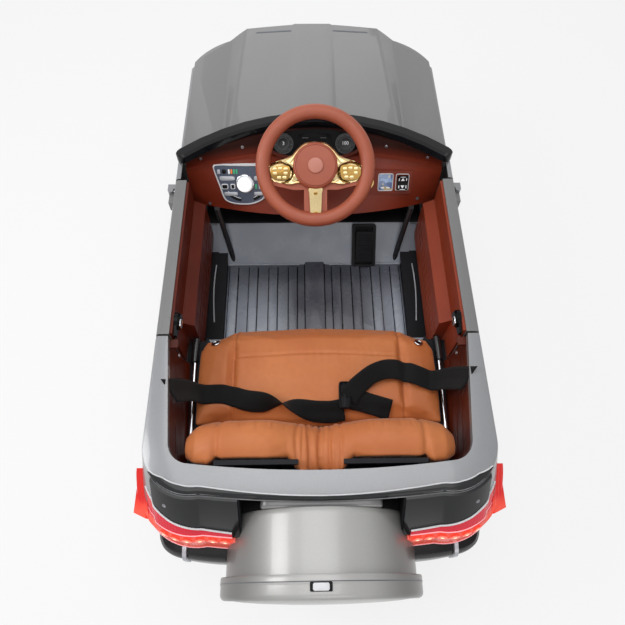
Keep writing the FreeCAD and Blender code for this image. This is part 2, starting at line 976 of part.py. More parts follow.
def dome_wire(y, drop):
    share = (y - bonnet_seat_rear_y) / (shoulder_nose_y - bonnet_seat_rear_y)
    edge = bonnet_edge_rear_z + share * (bonnet_edge_front_z - bonnet_edge_rear_z) - drop
    plateau = dome_rear_half + share * (dome_front_half - dome_rear_half)
    right = (
        (facet_half - facet_edge, edge + facet_rise),
        (facet_half, edge + crown_rise),
        (plateau - crease_round, edge + plateau_rise),
        (plateau + crease_round / 2, edge + plateau_rise - crease_round),
        (dome_foot_half - crease_round / 2, edge + foot_rise + crease_round / 2),
        (dome_foot_half + crease_round, edge + foot_rise - crease_round / 4),
        (span, edge),
        (span, belly_z),
    )
    corners = [vec(x, y, z) for x, z in right]
    corners += [flip(corner) for corner in corners[::-1]]
    return Part.makePolygon(corners + corners[:1])


def dome(drop):
    ends = (cowl_end_y - overrun, belt_nose_y + overrun)
    return Part.makeLoft([dome_wire(y, drop) for y in ends], True, True)


def bonnet_mass(inset, drop):
    column = prism(bonnet_wire(inset, belly_z), vec(0, 0, high - belly_z))
    return dome(drop).common(column)


def make_bonnet():
    outer = bonnet_mass(0, 0).common(above_seat_line(cowl_end_y - overrun))
    return outer.cut(bonnet_mass(bonnet_wall, bonnet_wall)).removeSplitter()


def cowl_arch(drop):
    # everything below the arched top of the cowl, lowered by the drop
    end_x = cowl_half + cowl_width
    start = vec(-end_x, 0, cowl_end_z - drop)
    end = vec(end_x, 0, cowl_end_z - drop)
    outline = wire(
        (start, vec(0, 0, cowl_top_z - drop), end),
        (end, vec(end_x, 0, belly_z)),
        (vec(end_x, 0, belly_z), vec(-end_x, 0, belly_z)),
        (vec(-end_x, 0, belly_z), start),
    )
    return prism(outline, vec(0, far, 0))


def cowl_section(angle, beyond, width_share):
    # bevelled section on the arc of the bonnet's rear edge, or beyond the end of the arc
    sag = cowl_mid_y - cowl_end_y
    radius = (cowl_half * cowl_half + sag * sag) / (2 * sag)
    along = math.copysign(beyond, angle)
    x = radius * math.sin(angle) + along * math.cos(angle)
    y = cowl_mid_y - radius + radius * math.cos(angle) - along * math.sin(angle)
    fall = (cowl_top_z - cowl_end_z) * (x / (cowl_half + cowl_width)) ** 2
    half = width_share * cowl_width / 2
    edge = half - cowl_round * width_share
    corners = []
    for out, drop in ((-half, cowl_thick), (half, cowl_thick), (half, cowl_round), (edge, 0), (-edge, 0),
                      (-half, cowl_round)):
        corners.append(vec(x + out * math.sin(angle), y + out * math.cos(angle), cowl_top_z - fall - drop))
    return Part.makePolygon(corners + corners[:1])


def make_cowl_trim():
    sag = cowl_mid_y - cowl_end_y
    end_angle = 2 * math.atan2(sag, cowl_half)
    half = cowl_width / 2
    rows = [(index * end_angle / cowl_steps, 0, 1) for index in range(cowl_steps + 1)]
    rows += [(end_angle, reach * half, width) for reach, width in cowl_end_shares]
    band = Part.makeLoft([cowl_section(*row) for row in both_sides(rows)], True, True)
    trim = band.cut(bonnet_mass(0, 0))
    return max(trim.Solids, key=lambda solid: solid.Volume)


# Dashboard and what sits on it
def face_y(x, z):
    # depth of the dashboard's face at a place across and a height
    share = (z - dash_low_z) / (dash_ledge_z - dash_low_z)
    mid = dash_low_mid_y + share * (dash_ledge_mid_y - dash_low_mid_y)
    end = dash_low_end_y + share * (dash_ledge_end_y - dash_low_end_y)
    return mid + (end - mid) * (x / dash_half) ** 2


def dash_wire(z, mid, end, half, back):
    left = vec(-half, end, z)
    right = vec(half, end, z)
    return wire(
        (left, vec(0, mid, z), right),
        (right, vec(half, back, z)),
        (vec(half, back, z), vec(-half, back, z)),
        (vec(-half, back, z), left),
    )


def dash_loft(inset, back):
    wires = [
        dash_wire(dash_low_z, dash_low_mid_y + inset, dash_low_end_y + inset, dash_half - inset, back),
        dash_wire(dash_ledge_z, dash_ledge_mid_y + inset, dash_ledge_end_y + inset, dash_half - inset, back),
    ]
    return Part.makeLoft(wires, True, True)


def dash_wall_wire(z, mid, end):
    left = vec(-dash_half, end, z)
    right = vec(dash_half, end, z)
    deep = vec(0, dash_wall, 0)
    return wire(
        (left, vec(0, mid, z), right),
        (right, right + deep),
        (right + deep, vec(0, mid, z) + deep, left + deep),
        (left + deep, left),
    )


def on_dash(shape, x, z, tilt):
    return placed(shape, 90 - tilt, vec(x, face_y(x, z), z))


def oval(half_wide, half_high, z_low, z_high):
    curve = Part.Ellipse(vec(0, 0, z_low), half_wide, half_high).toShape()
    return prism(Part.Wire([curve]), vec(0, 0, z_high - z_low))


def rounded_plate(half_wide, half_high, z_low, z_high, corner):
    plate = block(-half_wide, half_wide, -half_high, half_high, z_low, z_high)
    upright = [edge for edge in plate.Edges if edge.BoundBox.ZLength > (z_high - z_low) / 2]
    return plate.makeFillet(corner, upright)


def media_outline(z):
    left_low = vec(media_slant - media_half, media_round - media_half_height, z)
    right_low = vec(media_half, media_round - media_half_height, z)
    left = vec(-media_half, media_half_height, z)
    right = vec(media_half, media_half_height, z)
    return wire(
        (left, right),
        (right, right_low),
        (right_low, vec(media_slant / 2, -media_half_height, z), left_low),
        (left_low, left),
    )


def make_dashboard():
    back = dash_ledge_mid_y + dash_back
    lower = dash_loft(0, back)
    hollow = dash_loft(dash_wall, back + overrun)
    hollow = hollow.common(block(-span, span, -far, far, dash_low_z + dash_wall, dash_ledge_z - dash_wall))
    upper = Part.makeLoft([
        dash_wall_wire(dash_ledge_z - dash_wall, dash_ledge_mid_y + dash_step, dash_ledge_end_y + dash_step),
        dash_wall_wire(cowl_top_z, dash_top_mid_y + dash_step, dash_top_end_y + dash_step),
    ], True, True)
    upper = upper.common(cowl_arch(cowl_thick))
    hood = oval(gauge_half + gauge_hood, gauge_half_height + gauge_hood, -panel_boss, gauge_hood_height)
    hood = hood.cut(oval(gauge_half + seat_gap, gauge_half_height + seat_gap, 0, gauge_hood_height + overrun))
    hood = on_dash(hood, 0, gauge_z, gauge_tilt).common(cowl_arch(cowl_thick))
    media_seat = prism(media_outline(-panel_boss), vec(0, 0, panel_boss))
    media_seat = on_dash(media_seat, media_x, media_z, media_tilt)
    display_seat = rounded_plate(display_half, display_half_height, -panel_boss, 0, display_corner)
    display_seat = on_dash(display_seat, display_x, display_z, media_tilt)
    dash = lower.cut(hollow).fuse([upper, hood, media_seat, display_seat])
    hole = rod(column_radius + moving_gap, column_point(0), column_point(column_length))
    knob_hole = rod(knob_stem + moving_gap, vec(knob_offset, -knob_drop, -panel_boss),
                    vec(knob_offset, -knob_drop, 0))
    start_hole = rod(start_radius + moving_gap, vec(start_x, 0, -start_height - start_travel),
                     vec(start_x, 0, 0))
    dash = dash.cut([hole, on_dash(knob_hole, media_x, media_z, media_tilt),
                     on_dash(start_hole, display_x, display_z, media_tilt)])
    cowl = make_cowl_trim()
    for room in panel_rooms() + [bonnet_room(), cowl, cowl.translated(vec(0, 0, -seat_gap))]:
        dash = dash.cut(room)
    return dash.removeSplitter()


def panel_rooms():
    # free space in front of the seats of the three panels
    gauge = oval(gauge_half + seat_gap, gauge_half_height + seat_gap, 0, overrun)
    media = Part.Face(media_outline(0)).makeOffset2D(seat_gap).extrude(vec(0, 0, overrun))
    display = rounded_plate(display_half + seat_gap, display_half_height + seat_gap, 0, overrun,
                            display_corner)
    return [on_dash(gauge, 0, gauge_z, gauge_tilt), on_dash(media, media_x, media_z, media_tilt),
            on_dash(display, display_x, display_z, media_tilt)]


def bonnet_room():
    # space taken by the bonnet, with a gap all round
    return bonnet_mass(-seat_gap, -seat_gap).common(above_seat_line(cowl_end_y - overrun))


def make_gauge_panel():
    panel = oval(gauge_half, gauge_half_height, 0, gauge_thick)
    for x in (-dial_x, dial_x):
        low = vec(x, 0, gauge_thick)
        top = vec(x, 0, gauge_thick + dial_height)
        ring = rod(dial_radius, low, top).cut(rod(dial_radius - dial_ring, low, top))
        panel = panel.fuse(ring.common(oval(gauge_half, gauge_half_height, low.z, top.z)))
    return on_dash(panel, 0, gauge_z, gauge_tilt)


def make_media_panel():
    plate = prism(media_outline(0), vec(0, 0, media_thick + media_bezel_height))
    well = Part.Face(media_outline(media_thick)).makeOffset2D(-media_bezel)
    plate = plate.cut(well.extrude(vec(0, 0, media_bezel_height + overrun)))
    stem = rod(knob_stem + run_clearance, vec(knob_offset, -knob_drop, 0),
               vec(knob_offset, -knob_drop, media_thick))
    return on_dash(plate.cut(stem), media_x, media_z, media_tilt)


def make_media_knob():
    low = media_thick + seat_gap
    grip = rod(knob_radius, vec(0, 0, low), vec(0, 0, low + knob_height))
    upper = [edge for edge in grip.Edges if edge.BoundBox.ZMin > low + knob_height / 2]
    grip = grip.makeChamfer(knob_height / 4, upper)
    stem = rod(knob_stem, vec(0, 0, 0), vec(0, 0, low))
    knob = grip.fuse(stem)
    knob.translate(vec(knob_offset, -knob_drop, 0))
    return on_dash(knob, media_x, media_z, media_tilt)


def make_display_panel():
    plate = rounded_plate(display_half, display_half_height, 0, display_thick, display_corner)
    tile = block(screen_x - tile_half, screen_x + tile_half, -tile_half_height, tile_half_height,
                 display_thick - tile_depth, display_thick)
    ring_top = display_thick + start_ring_height
    ring = rod(start_radius + start_ring, vec(start_x, 0, display_thick), vec(start_x, 0, ring_top))
    bore = rod(start_radius + run_clearance, vec(start_x, 0, 0), vec(start_x, 0, ring_top))
    return on_dash(plate.cut(tile).fuse(ring).cut(bore), display_x, display_z, media_tilt)


def make_start_button():
    top = display_thick + start_ring_height + start_travel / 2
    button = rod(start_radius, vec(start_x, 0, top - start_height - start_travel), vec(start_x, 0, top))
    upper = [edge for edge in button.Edges if edge.BoundBox.ZMin > top - start_travel]
    return on_dash(button.makeChamfer(start_travel / 3, upper), display_x, display_z, media_tilt)


def make_drive_switch():
    # rocker on a round pivot, with room below both ends
    low = display_thick + seat_gap
    lift = switch_half_height * math.tan(math.radians(switch_angle)) + seat_gap
    points = (
        (-switch_half_height, low + lift),
        (0, low),
        (switch_half_height, low + lift),
        (switch_half_height, low + lift + switch_height),
        (0, low + switch_height),
        (-switch_half_height, low + lift + switch_height),
    )
    rocker = side_prism(points, switch_x - switch_half, switch_x + switch_half)
    pivot_z = low + switch_pivot_radius
    rocker = rocker.fuse(rod(switch_pivot_radius, vec(switch_x - switch_half, 0, pivot_z),
                             vec(switch_x + switch_half, 0, pivot_z)))
    return on_dash(rocker, display_x, display_z, media_tilt)


# Steering wheel, drawn flat with its upper edge towards +Y and its face up
def on_column(shape):
    return placed(shape, wheel_tilt, vec(0, wheel_centre_y, wheel_centre_z))


def column_point(distance):
    # place on the column axis, measured down from the middle of the wheel
    tilt = math.radians(wheel_tilt)
    return vec(0, wheel_centre_y + distance * math.sin(tilt), wheel_centre_z - distance * math.cos(tilt))


column_length = (wheel_centre_z - wheel_radius - crank_lift) / math.cos(math.radians(wheel_tilt))
deck_drop = (wheel_centre_z - front_deck_z) / math.cos(math.radians(wheel_tilt))
bearing_start = deck_drop - bearing_length / 2


def spoke_outline(z):
    # side spokes from the pad to the rim, drooping at their ends
    return Part.makePolygon([vec(x, y, z) for x, y in (
        (-grip_radius, pod_top - spoke_drop),
        (-pod_inner, pod_top + spoke_drop),
        (pod_inner, pod_top + spoke_drop),
        (grip_radius, pod_top - spoke_drop),
        (grip_radius, -pod_bottom),
        (pod_inner, -pod_bottom - spoke_drop),
        (-pod_inner, -pod_bottom - spoke_drop),
        (-grip_radius, -pod_bottom),
        (-grip_radius, pod_top - spoke_drop),
    )])


def make_steering_wheel():
    corners = []
    for index in range(grip_sides):
        angle = 2 * math.pi * index / grip_sides
        corners.append(vec(grip_radius + grip_thick * math.cos(angle), 0, grip_thick * math.sin(angle)))
    section = Part.Face(Part.makePolygon(corners + corners[:1]))
    grip = section.revolve(origin, vec(0, 0, 1), 360)
    pad = rod(pad_radius, vec(0, 0, -spoke_thick), vec(0, 0, pad_height - spoke_thick))
    pad = pad.makeFillet(pad_round, [edge for edge in pad.Edges if edge.BoundBox.ZMin > 0])
    boss = rod(boss_radius, vec(0, 0, 0), vec(0, 0, pad_height - spoke_thick + boss_height))
    arms = prism(spoke_outline(-spoke_thick), vec(0, 0, spoke_thick))
    arms = arms.common(rod(grip_radius, vec(0, 0, -spoke_thick), vec(0, 0, spoke_thick)))
    lower = block(-spoke_half, spoke_half, -grip_radius, 0, -spoke_thick, 0)
    wheel = grip.fuse([pad, boss, arms, lower])
    socket = rod(column_radius, vec(0, 0, -spoke_thick - overrun), vec(0, 0, 0))
    return on_column(wheel.cut(socket).removeSplitter())


def pod_outline(z):
    return Part.makePolygon([vec(x, y, z) for x, y in (
        (pod_inner, pod_top),
        (pod_outer, pod_top - spoke_drop),
        (pod_outer, pod_top - spoke_drop - pod_tip),
        (pod_inner + pod_tip, -pod_bottom),
        (pod_inner - pod_tip, -pod_bottom),
        (pod_inner - pod_tip, pod_top),
        (pod_inner, pod_top),
    )])


def make_steering_bezel():
    # bright plate over the spokes: a hoop round the top of the pad, two pods and the lower tongue
    hoop = rod(pad_radius + bezel_rim, vec(0, 0, 0), vec(0, 0, bezel_thick))
    hoop = hoop.cut(block(-span, span, -span, -pod_bottom, -bezel_thick, high))
    pod = prism(pod_outline(0), vec(0, 0, bezel_thick))
    tongue = block(-tongue_half, tongue_half, -tongue_end, -pod_bottom, 0, bezel_thick)
    heel = block(-spoke_half, spoke_half, -pad_radius - bezel_rim, -pod_bottom, 0, bezel_thick)
    plate = hoop.fuse([pod, mirrored(pod), tongue, heel])
    clear = pad_radius + seat_gap
    plate = plate.cut(rod(clear, vec(0, 0, -bezel_thick), vec(0, 0, pad_height)))
    plate = plate.cut([key_cut(1), key_cut(-1)])
    plate = plate.common(rod(grip_radius - grip_thick, vec(0, 0, 0), vec(0, 0, pad_height)))
    return on_column(plate.removeSplitter())


key_x = (pod_inner + pod_outer) / 2
key_y = (pod_top - spoke_drop - pod_tip / 2)


def key_solid(side, grow, z_low, z_high):
    key = rounded_plate(key_length / 2 + grow, key_width / 2 + grow, z_low, z_high, key_width / 4)
    key.translate(vec(side * key_x, key_y, 0))
    return key


def key_cut(side):
    return key_solid(side, run_clearance + run_clearance, 0, bezel_thick)


def make_wheel_key(side):
    key = key_solid(side, 0, key_travel + seat_gap, bezel_thick + key_height)
    return on_column(key)


def make_steering_column():
    tube = rod(column_radius, column_point(0), column_point(column_length))
    end = column_point(column_length)
    pin = crank_pin(0)
    web = Part.makeCylinder(crank_thick, crank_thick, end, column_point(0) - end)
    eye = Part.makeCylinder(crank_thick, crank_thick, pin, column_point(0) - end)
    arm = block(-crank_thick, crank_thick, -crank_radius, 0, 0, crank_thick)
    arm = placed(arm, wheel_tilt, end)
    drop = column_point(column_length + crank_stud) - end
    stud = rod(link_pin_radius, pin, pin + drop)
    return tube.fuse([web, eye, arm, stud]).removeSplitter()


def crank_pin(turn):
    # place of the crank's pin along the car when the wheel is turned
    tilt = math.radians(wheel_tilt)
    reach = crank_radius * math.cos(math.radians(turn))
    return column_point(column_length) - vec(0, reach * math.cos(tilt), reach * math.sin(tilt))


link_travel = arm_length * math.sin(math.radians(knuckle_angle))
crank_radius = link_travel / math.sin(math.radians(steer_angle))


# Front axle: beam, knuckles and tie rod
def make_front_beam():
    z = wheel_radius
    bar = block(-beam_half, beam_half, front_axle_y - beam_width / 2, front_axle_y + beam_width / 2,
                z - beam_height / 2, z + beam_height / 2)
    pieces = []
    reach = knuckle_height / 2 + seat_gap
    for side in (-1, 1):
        x = side * kingpin_half
        low, top = sorted((side * (beam_half - beam_width), x))
        for z_low in (z - reach - lug_thick, z + reach):
            lug = block(low, top, front_axle_y - knuckle_radius, front_axle_y + knuckle_radius,
                        z_low, z_low + lug_thick)
            eye = rod(knuckle_radius, vec(x, front_axle_y, z_low), vec(x, front_axle_y, z_low + lug_thick))
            pieces += [lug, eye]
        low, top = sorted((side * (beam_half - beam_width), side * beam_half))
        pieces.append(block(low, top, front_axle_y - knuckle_radius, front_axle_y + knuckle_radius,
                            z - reach - lug_thick, z + reach + lug_thick))
        pieces.append(rod(kingpin_radius, vec(x, front_axle_y, z - reach), vec(x, front_axle_y, z + reach)))
        post_x = side * beam_post_x
        pieces.append(block(post_x - beam_post_half, post_x + beam_post_half,
                            front_axle_y - beam_width / 2, front_axle_y + beam_width / 2,
                            z + beam_height / 2, front_deck_z - tub_wall))
    return bar.fuse(pieces).removeSplitter()


def make_knuckle():
    z = wheel_radius
    half = knuckle_height / 2
    centre = vec(kingpin_half, front_axle_y, z)
    barrel = rod(knuckle_radius, centre - vec(0, 0, half), centre + vec(0, 0, half))
    stub = rod(axle_radius, centre, vec(wheel_inner_half + tyre_width, front_axle_y, z))
    shoulder = rod(2 * axle_radius, centre, vec(wheel_inner_half + rim_dish - seat_gap, front_axle_y, z))
    arm_low = z - half
    arm = block(kingpin_half - arm_width / 2, kingpin_half + arm_width / 2,
                front_axle_y - arm_length, front_axle_y, arm_low, arm_low + arm_thick)
    eye = rod(arm_width / 2, vec(kingpin_half, front_axle_y - arm_length, arm_low),
              vec(kingpin_half, front_axle_y - arm_length, arm_low + arm_thick))
    pin = rod(link_pin_radius, vec(kingpin_half, front_axle_y - arm_length, arm_low),
              vec(kingpin_half, front_axle_y - arm_length, arm_low + arm_thick + link_pin_height))
    bore = rod(kingpin_radius + run_clearance, centre - vec(0, 0, half), centre + vec(0, 0, half))
    return barrel.fuse([stub, shoulder, arm, eye, pin]).cut(bore).removeSplitter()


def link_slot(x, y, half_x, half_y, z_low, z_high):
    return block(x - half_x, x + half_x, y - half_y, y + half_y, z_low, z_high)


def make_tie_rod():
    z_low = wheel_radius - knuckle_height / 2 + arm_thick + seat_gap
    z_high = z_low + tie_bar_height
    y = front_axle_y - arm_length
    bow = arm_length * (1 - math.cos(math.radians(knuckle_angle)))
    half_x = link_pin_radius + tie_slack
    half_y = link_pin_radius + bow + tie_slack
    bar = block(-kingpin_half, kingpin_half, y - tie_bar / 2, y + tie_bar / 2, z_low, z_high)
    pieces = []
    slots = []
    for x in (-kingpin_half, kingpin_half):
        pieces.append(link_slot(x, y, half_x + tie_bar / 2, half_y + tie_bar / 2, z_low, z_high))
        slots.append(link_slot(x, y, half_x, half_y, z_low, z_high))
    tilt = math.radians(wheel_tilt)
    lean = math.tan(tilt)
    reach = link_pin_radius / math.cos(tilt) + tie_bar_height / 2 * lean + tie_slack
    places = []
    for turn in (0, steer_angle):
        pin = crank_pin(turn)
        places.append(pin.y + (pin.z - (z_low + z_high) / 2) * lean)
    middle = (places[0] + places[1]) / 2
    half = (places[1] - places[0]) / 2 + reach
    pieces.append(link_slot(0, middle, half_x + tie_bar / 2, half + tie_wall, z_low, z_high))
    slots.append(link_slot(0, middle, half_x, half, z_low, z_high))
    return bar.fuse(pieces).cut(slots).removeSplitter()


# Road wheels, drawn about the right wheel's axis
def make_tyre(hub):
    inner = wheel_inner_half
    outer = inner + tyre_width
    shoulder = wheel_radius - tyre_crown
    bead = wheel_radius - tyre_depth
    profile = (
        (inner + tyre_crown, bead),
        (inner, bead + tyre_crown),
        (inner, shoulder - tyre_crown),
        (inner + 2 * tyre_crown, wheel_radius),
        (outer - 2 * tyre_crown, wheel_radius),
        (outer, shoulder - tyre_crown),
        (outer, bead + tyre_crown),
        (outer - tyre_crown, bead),
    )
    tyre = turned_across(profile, hub)
    grooves = []
    for index in range(tread_count):
        for low, top, turn in ((inner, inner + tyre_width / 3, 0),
                               (outer - tyre_width / 3, outer, tread_stagger_share)):
            groove = block(low - overrun * (low == inner), top + overrun * (top == outer),
                           hub.y - tread_width / 2, hub.y + tread_width / 2,
                           hub.z + wheel_radius - tread_depth, hub.z + wheel_radius + overrun)
            groove.rotate(hub, vec(1, 0, 0), (index + turn) * 360 / tread_count)
            grooves.append(groove)
    return tyre.cut(grooves)


def make_rim(hub):
    inner = wheel_inner_half
    outer = inner + tyre_width
    rim_radius = wheel_radius - tyre_depth
    well = rim_radius - rim_wall
    face = outer - rim_dish
    profile = (
        (inner + tyre_crown, rim_radius),
        (outer - tyre_crown, rim_radius),
        (outer - tyre_crown, well),
        (face + rim_wall, hub_radius + rim_wall),
        (outer - 2 * tyre_crown, hub_radius),
        (outer - 2 * tyre_crown, axle_radius + run_clearance),
        (inner + rim_dish, axle_radius + run_clearance),
        (inner + rim_dish, hub_radius),
        (face - rim_wall, hub_radius),
        (outer - 2 * tyre_crown - rim_wall, well),
        (inner + tyre_crown, well),
    )
    rim = turned_across(profile, hub)
    window_low = hub_radius + 2 * rim_wall
    window_high = well - rim_wall
    for index in range(rim_spokes):
        rim = rim.cut(rim_window(hub, window_low, window_high, index * 360 / rim_spokes))
    return rim


def rim_window(hub, low, top, turn):
    # tapered hole between two spokes
    corners = []
    for radius, share in ((low, -rim_window_low_share), (top, -rim_window_high_share),
                          (top, rim_window_high_share), (low, rim_window_low_share)):
        angle = math.pi * share / rim_spokes
        corners.append((hub.y + radius * math.sin(angle), hub.z + radius * math.cos(angle)))
    hole = side_prism(corners, wheel_inner_half + rim_dish, wheel_inner_half + tyre_width + overrun)
    hole.rotate(hub, vec(1, 0, 0), turn)
    return hole


def make_rear_axle():
    reach = wheel_inner_half + tyre_width - axle_cap
    return rod(axle_radius, rear_hub - vec(reach, 0, 0), rear_hub + vec(reach, 0, 0))


def make_gearbox():
    inner_x = gearbox_half - gearbox_width / 2
    outer_x = gearbox_half + gearbox_width / 2
    z = wheel_radius
    case = rod(gearbox_radius, vec(inner_x, rear_axle_y, z), vec(outer_x, rear_axle_y, z))
    motor_y = rear_axle_y + gearbox_radius
    neck = block(inner_x, outer_x, rear_axle_y, motor_y, z - motor_radius, z + motor_radius)
    nose = rod(motor_radius, vec(inner_x, motor_y, z), vec(outer_x, motor_y, z))
    motor = rod(motor_radius, vec(inner_x - motor_length, motor_y, z), vec(inner_x, motor_y, z))
    bore = rod(axle_radius + run_clearance, rear_hub, rear_hub + vec(span, 0, 0))
    return case.fuse([neck, nose, motor]).cut(bore).removeSplitter()


def make_battery():
    case = block(-battery_half, battery_half, battery_rear_y, battery_rear_y + battery_length,
                 front_deck_z, front_deck_z + battery_height)
    lid_z = front_deck_z + battery_height
    lid = block(-battery_half + battery_lid, battery_half - battery_lid, battery_rear_y + battery_lid,
                battery_rear_y + battery_length - battery_lid, lid_z, lid_z + battery_lid)
    posts = []
    for x in (-battery_half / 2, battery_half / 2):
        start = vec(x, battery_rear_y + battery_length / 2, lid_z + battery_lid)
        posts.append(rod(battery_post_radius, start, start + vec(0, 0, battery_post_height)))
    return case.fuse([lid] + posts).removeSplitter()


def make_control_box():
    box = block(control_x - control_half, control_x + control_half, control_y, control_y + control_length,
                front_deck_z, front_deck_z + control_height)
    upper = [edge for edge in box.Edges if edge.BoundBox.ZMin > front_deck_z + control_height / 2]
    return box.makeFillet(control_height / 8, upper)


# Pedal, drawn flat on the toe board with its toe end towards +Y
def on_toe_board(shape):
    rise = front_deck_z - floor_z
    run = toe_top_y - toe_foot_y
    slope = math.degrees(math.atan2(rise, run))
    return placed(shape, slope, vec(pedal_x, (toe_foot_y + toe_top_y) / 2, (floor_z + front_deck_z) / 2))


def make_pedal_housing():
    half = pedal_housing_length / 2
    tray = rounded_plate(pedal_housing_half, half, 0, pedal_housing_height, pedal_housing_wall)
    well = block(-pedal_half - moving_gap, pedal_half + moving_gap, -half + pedal_housing_wall,
                 half - pedal_housing_wall, pedal_housing_wall, pedal_housing_height + overrun)
    pin = rod(pedal_pin_radius, pedal_pin_point() - vec(pedal_housing_half - pedal_housing_wall, 0, 0),
              pedal_pin_point() + vec(pedal_housing_half - pedal_housing_wall, 0, 0))
    return on_toe_board(tray.cut(well).fuse(pin).removeSplitter())


def pedal_pin_point():
    return vec(0, -pedal_housing_length / 2 + 2 * pedal_housing_wall + pedal_pin_radius,
               pedal_housing_wall + pedal_thick / 2 + moving_gap)


def make_pedal():
    pin = pedal_pin_point()
    low = pin.z - pedal_thick / 2
    plate = block(-pedal_half, pedal_half, pin.y, pin.y + pedal_length, low, low + pedal_thick)
    heel = rod(pedal_thick / 2, pin - vec(pedal_half, 0, 0), pin + vec(pedal_half, 0, 0))
    ribs = []
    for index in range(pedal_ribs):
        y = pin.y + pedal_length * (index + 1) / (pedal_ribs + 1)
        ribs.append(block(-pedal_half + pedal_rib_width, pedal_half - pedal_rib_width, y, y + pedal_rib_width,
                          low + pedal_thick, low + pedal_thick + pedal_rib))
    bore = rod(pedal_pin_radius + run_clearance, pin - vec(span, 0, 0), pin + vec(span, 0, 0))
    pedal = plate.fuse([heel] + ribs).cut(bore).removeSplitter()
    pedal.rotate(pin, vec(1, 0, 0), pedal_angle)
    return on_toe_board(pedal)


# Tail: panel, lights and bumpers
def make_rear_panel():
    skin = body_solid(-panel_thick).cut(body)
    window = block(-panel_half, panel_half, -far, panel_front_y, panel_low_z, panel_high_z)
    return skin.common(window).cut([drum_cut(drum_gap), recess_cut(0)]).removeSplitter()


def make_tail_light():
    skin = body_solid(-light_thick).cut(body)
    points = ((-far, light_low_z), (-far, light_high_z), (light_corner_y, light_high_z),
              (light_tip_y, light_tip_z), (light_corner_y, light_low_z))
    return skin.common(side_prism(points, light_inner_half, span)).cut(drum_cut(drum_gap)).removeSplitter()


def bumper_mass():
    wires = []
    for z, reach in ((bumper_low_z, bumper_edge_reach), (bumper_mid_low_z, bumper_reach),
                     (bumper_mid_high_z, bumper_reach), (bumper_high_z, bumper_edge_reach)):
        half, nose, tail = body_at(z)
        wires.append(plan_wire(z, half + reach, nose + reach + front_bumper_extra, tail - reach))
    return Part.makeLoft(wires, True, True).cut(body)


def make_rear_bumper():
    return bumper_mass().common(slab(-far, rear_bumper_front_y)).cut(drum_cut(drum_gap)).removeSplitter()


def make_front_bumper():
    bumper = bumper_mass().common(slab(front_bumper_rear_y, far))
    front = belly_nose_y + bumper_reach + front_bumper_extra
    intake = block(-intake_half, intake_half, front - intake_depth, far, intake_low_z, intake_high_z)
    return bumper.cut(intake).removeSplitter()


# Nose
def make_grille():
    skin = body.cut(body_solid(grille_depth))
    half = grille_half - seat_gap
    grille = skin.common(block(-half, half, 0, far, grille_low_z + seat_gap, grille_high_z - seat_gap))
    height = grille_high_z - grille_low_z - 2 * grille_frame
    pitch = (height + grille_bar) / (grille_bars + 1)
    for index in range(grille_bars + 1):
        z = grille_low_z + grille_frame + index * pitch
        grille = grille.cut(block(-half + grille_frame, half - grille_frame, 0, far,
                                  z, z + pitch - grille_bar))
    return grille


def make_headlights():
    # round drum with a domed lens inside its bezel
    front = vec(headlight_x, headlight_front_y, headlight_z)
    drum = rod(headlight_radius, front - vec(0, headlight_depth, 0), front)
    half = headlight_radius - headlight_bezel
    ball_radius = (half * half + headlight_dome * headlight_dome) / (2 * headlight_dome)
    ball = Part.makeSphere(ball_radius, front + vec(0, headlight_dome - ball_radius, 0))
    lens = ball.common(rod(half, front - vec(0, headlight_bezel, 0), front + vec(0, overrun, 0)))
    return pair(drum.fuse(lens).removeSplitter())


# Spare wheel locker
def make_spare_drum():
    disc = rod(drum_radius, vec(0, drum_front_y, drum_z), vec(0, drum_back_y, drum_z))
    near = [edge for edge in disc.Edges if edge.BoundBox.YMin > drum_front_y - drum_round]
    disc = disc.makeFillet(drum_round, near)
    flange_y = drum_back_y + lid_lap
    flange = rod(lid_radius - lid_wall - seat_gap, vec(0, flange_y, drum_z), vec(0, drum_back_y, drum_z))
    hollow = rod(drum_radius - drum_wall, vec(0, drum_front_y - drum_wall - drum_round / 2, drum_z),
                 vec(0, -far, drum_z))
    boss = block(-drum_boss_half, drum_boss_half, drum_front_y - drum_round, drum_boss_face_y,
                 drum_boss_low_z, drum_boss_high_z)
    along = [edge for edge in boss.Edges if edge.BoundBox.YLength > drum_boss_round]
    boss = boss.makeFillet(drum_boss_round, along)
    neck_half = drum_boss_half - drum_boss_round
    neck = block(-neck_half, neck_half, drum_boss_face_y - drum_boss_round,
                 tray_front_y - tray_wall - seat_gap, drum_boss_low_z + drum_boss_round, drum_neck_high_z)
    lugs = []
    hinge = lid_hinge_point()
    for side in (-1, 1):
        low, top = sorted((side * (lid_hinge_half + seat_gap), side * (lid_hinge_half + hinge_lug)))
        lugs.append(block(low, top, hinge.y - lid_hinge_radius, hinge.y + lid_hinge_radius,
                          hinge.z, drum_z - drum_radius + drum_wall))
        lugs.append(rod(lid_hinge_radius, vec(low, hinge.y, hinge.z), vec(top, hinge.y, hinge.z)))
    reach = vec(lid_hinge_half + hinge_lug, 0, 0)
    pin = rod(lid_pin_radius, hinge - reach, hinge + reach)
    drum = disc.fuse([flange, boss, neck]).cut(hollow).fuse(lugs + [pin])
    return drum.removeSplitter()


def lid_hinge_point():
    return vec(0, drum_back_y + lid_lap + lid_hinge_radius + moving_gap,
               drum_z - lid_radius - lid_hinge_radius)


